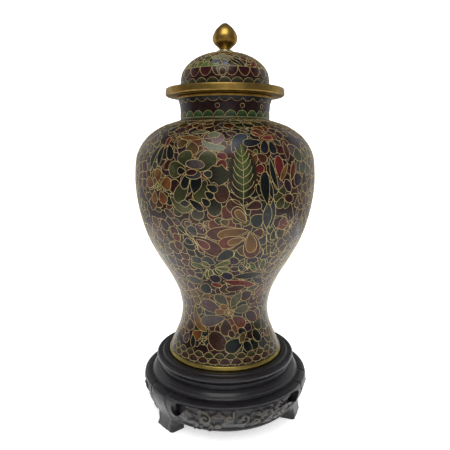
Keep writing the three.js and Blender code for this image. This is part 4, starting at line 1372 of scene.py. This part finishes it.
        columns = 19
        verts, rubbed = [], []
        for j in range(columns):
            across = -1 + 2 * j / (columns - 1)
            for z in heights:
                curl = 1 - 0.14 * math.sin(math.pi * min(1.0, z / (ankle_z - 2))) ** 2
                x = across * settings.leg_width / 2 * curl
                edge = 1 - math.sqrt(max(0.0, 1 - max(0.0, (abs(across) - 0.8) / 0.2) ** 2))
                ridge = 0.5 * math.exp(-(((abs(across) - 0.78) / 0.12) ** 2)) * (1 if z < top - 6 else 0)
                r = min(front(z) - 1.3 * edge - 0.5 + ridge, widest)
                verts.append((x, -math.sqrt(max(r * r - x * x, 1)), z))
                rubbed.append(min(1.0, ridge * 1.2))
            for z in heights[::-1]:
                x = across * settings.leg_width / 2
                r = back(z)
                verts.append((x, -math.sqrt(max(r * r - x * x, 1)), z))
                rubbed.append(0.0)
        ring = 2 * len(heights)
        faces = []
        for j in range(columns - 1):
            for k in range(ring):
                n = (k + 1) % ring
                faces.append((j * ring + k, j * ring + n, (j + 1) * ring + n, (j + 1) * ring + k))
        rows = len(heights)
        for first in (0, (columns - 1) * ring):
            for k in range(rows - 1):
                faces.append((first + k, first + k + 1, first + ring - 2 - k, first + ring - 1 - k))
        c, s = math.cos(azimuth), math.sin(azimuth)
        placed = [((x * c - y * s) * MM, (x * s + y * c) * MM, z * MM) for x, y, z in verts]
        piece = new_piece(name.replace("stand_", "carved_"), placed, faces, MATERIALS["carved"], "stand",
                          (name,))
        self.rub(piece, rubbed)
        self.clean(piece)


# Sizes of the stage, in m
FLOOR_RADIUS = 0.45  # of the near floor, which shows in reflections
VASE_MIDDLE = (0, 0, 0.16)


class VASE_OT_stage(bpy.types.Operator):
    """Makes the floor, the backdrop, the lights and the camera."""

    bl_idname = "vase.stage"
    bl_label = "Floor, light and camera"

    def execute(self, context):
        settings = context.scene.stage_settings
        self.floor(settings)
        self.world()
        for name, azimuth, elevation, distance, size, power in (
            ("key", -8, 60, 1.25, 0.8, 6), ("left", -125, 8, 1.5, 1.7, 4), ("right", 125, 8, 1.5, 1.7, 4),
            ("front", 6, 8, 1.9, 1.3, 3),
        ):
            self.light(name, azimuth, elevation, distance, size, power)
        data = bpy.data.cameras.new("camera")
        data.lens, data.sensor_width = settings.lens, 36.0
        data.clip_start, data.clip_end = 0.01, 50.0
        camera = bpy.data.objects.new("camera", data)
        camera.location = settings.camera_place
        camera.rotation_euler = (math.radians(90) - settings.camera_pitch, 0, 0)
        context.scene.collection.objects.link(camera)
        context.scene.camera = camera
        context.scene.view_settings.view_transform = "Standard"
        return {"FINISHED"}

    def floor(self, settings):
        """A pale floor that sweeps up far away into a pale backdrop."""
        sheet = Sheet("pale_floor", **{"Roughness": 0.9, "Specular IOR Level": 0.1})
        glow = {"Base Color": (*settings.floor, 1), "Emission Color": (1, 1, 1, 1), "Emission Strength": 0.5}
        sheet.set(sheet.shader, glow)
        sweep = [(FLOOR_RADIUS, 0.0), (2.6, 0.0), (3.0, 0.05), (3.3, 0.2), (3.5, 0.5), (3.6, 0.9), (3.6, 4.0)]
        for name, line in (("floor", [(FLOOR_RADIUS, 0.0)]), ("backdrop", sweep)):
            verts, faces = [], []
            segments, ring = 64, len(line)
            for j in range(segments):
                a = 2 * math.pi * j / segments
                verts += [(r * math.sin(a), -r * math.cos(a), z) for r, z in line]
            for j in range(segments):
                here, there = j * ring, (j + 1) % segments * ring
                faces += [(here + k, there + k, there + k + 1, here + k + 1) for k in range(ring - 1)]
            if ring == 1:
                faces = [list(range(segments))]
            mesh = bpy.data.meshes.new(name)
            mesh.from_pydata(verts, [], faces)
            mesh.materials.append(sheet.material)
            piece = bpy.data.objects.new(name, mesh)
            bpy.context.scene.collection.objects.link(piece)
            piece.visible_glossy = name == "floor"

    def world(self):
        """Even pale light from all round."""
        world = bpy.data.worlds.new("studio")
        world.use_nodes = True
        world.node_tree.nodes["Background"].inputs["Color"].default_value = (0.97, 0.98, 1.0, 1)
        world.node_tree.nodes["Background"].inputs["Strength"].default_value = 0.16
        bpy.context.scene.world = world

    def light(self, name, azimuth, elevation, distance, size, power):
        """A soft square light that faces the vase's middle."""
        data = bpy.data.lights.new(name, "AREA")
        data.size, data.energy = size, power
        light = bpy.data.objects.new(name, data)
        a, e = math.radians(azimuth), math.radians(elevation)
        toward = Vector((math.sin(a) * math.cos(e), -math.cos(a) * math.cos(e), math.sin(e)))
        light.location = Vector(VASE_MIDDLE) + distance * toward
        light.rotation_euler = toward.to_track_quat("Z", "Y").to_euler()
        bpy.context.scene.collection.objects.link(light)


class VASE_PT_panel(bpy.types.Panel):
    """The vase's pieces, in the order they are made."""

    bl_label = "Cloisonne vase"
    bl_idname = "VASE_PT_panel"
    bl_space_type = "VIEW_3D"
    bl_region_type = "UI"
    bl_category = "Vase"

    def draw(self, context):
        for group in ("enamel_settings", "stand_settings", "stage_settings"):
            settings = getattr(context.scene, group)
            for prop in settings.bl_rna.properties:
                if prop.identifier not in ("rna_type", "name"):
                    self.layout.prop(settings, prop.identifier)
        for operator in OPERATORS:
            self.layout.operator(operator.bl_idname)


OPERATORS = (VASE_OT_finishes, VASE_OT_body_enamel, VASE_OT_lid_enamel, VASE_OT_fittings, VASE_OT_turned_wood,
             VASE_OT_carved_wood, VASE_OT_stage)
SETTINGS = {"enamel_settings": EnamelSettings, "stand_settings": StandSettings, "stage_settings": StageSettings}


def register():
    """Registers the settings, the operators and the panel."""
    for name, group in SETTINGS.items():
        bpy.utils.register_class(group)
        setattr(bpy.types.Scene, name, bpy.props.PointerProperty(type=group))
    for operator in (*OPERATORS, VASE_PT_panel):
        bpy.utils.register_class(operator)


def unregister():
    """Takes them out again."""
    for operator in (VASE_PT_panel, *OPERATORS[::-1]):
        bpy.utils.unregister_class(operator)
    for name, group in SETTINGS.items():
        delattr(bpy.types.Scene, name)
        bpy.utils.unregister_class(group)


def main():
    """Makes every piece."""
    register()
    for operator in OPERATORS:
        space, call = operator.bl_idname.split(".")
        getattr(getattr(bpy.ops, space), call)()


if __name__ == "__main__":
    main()
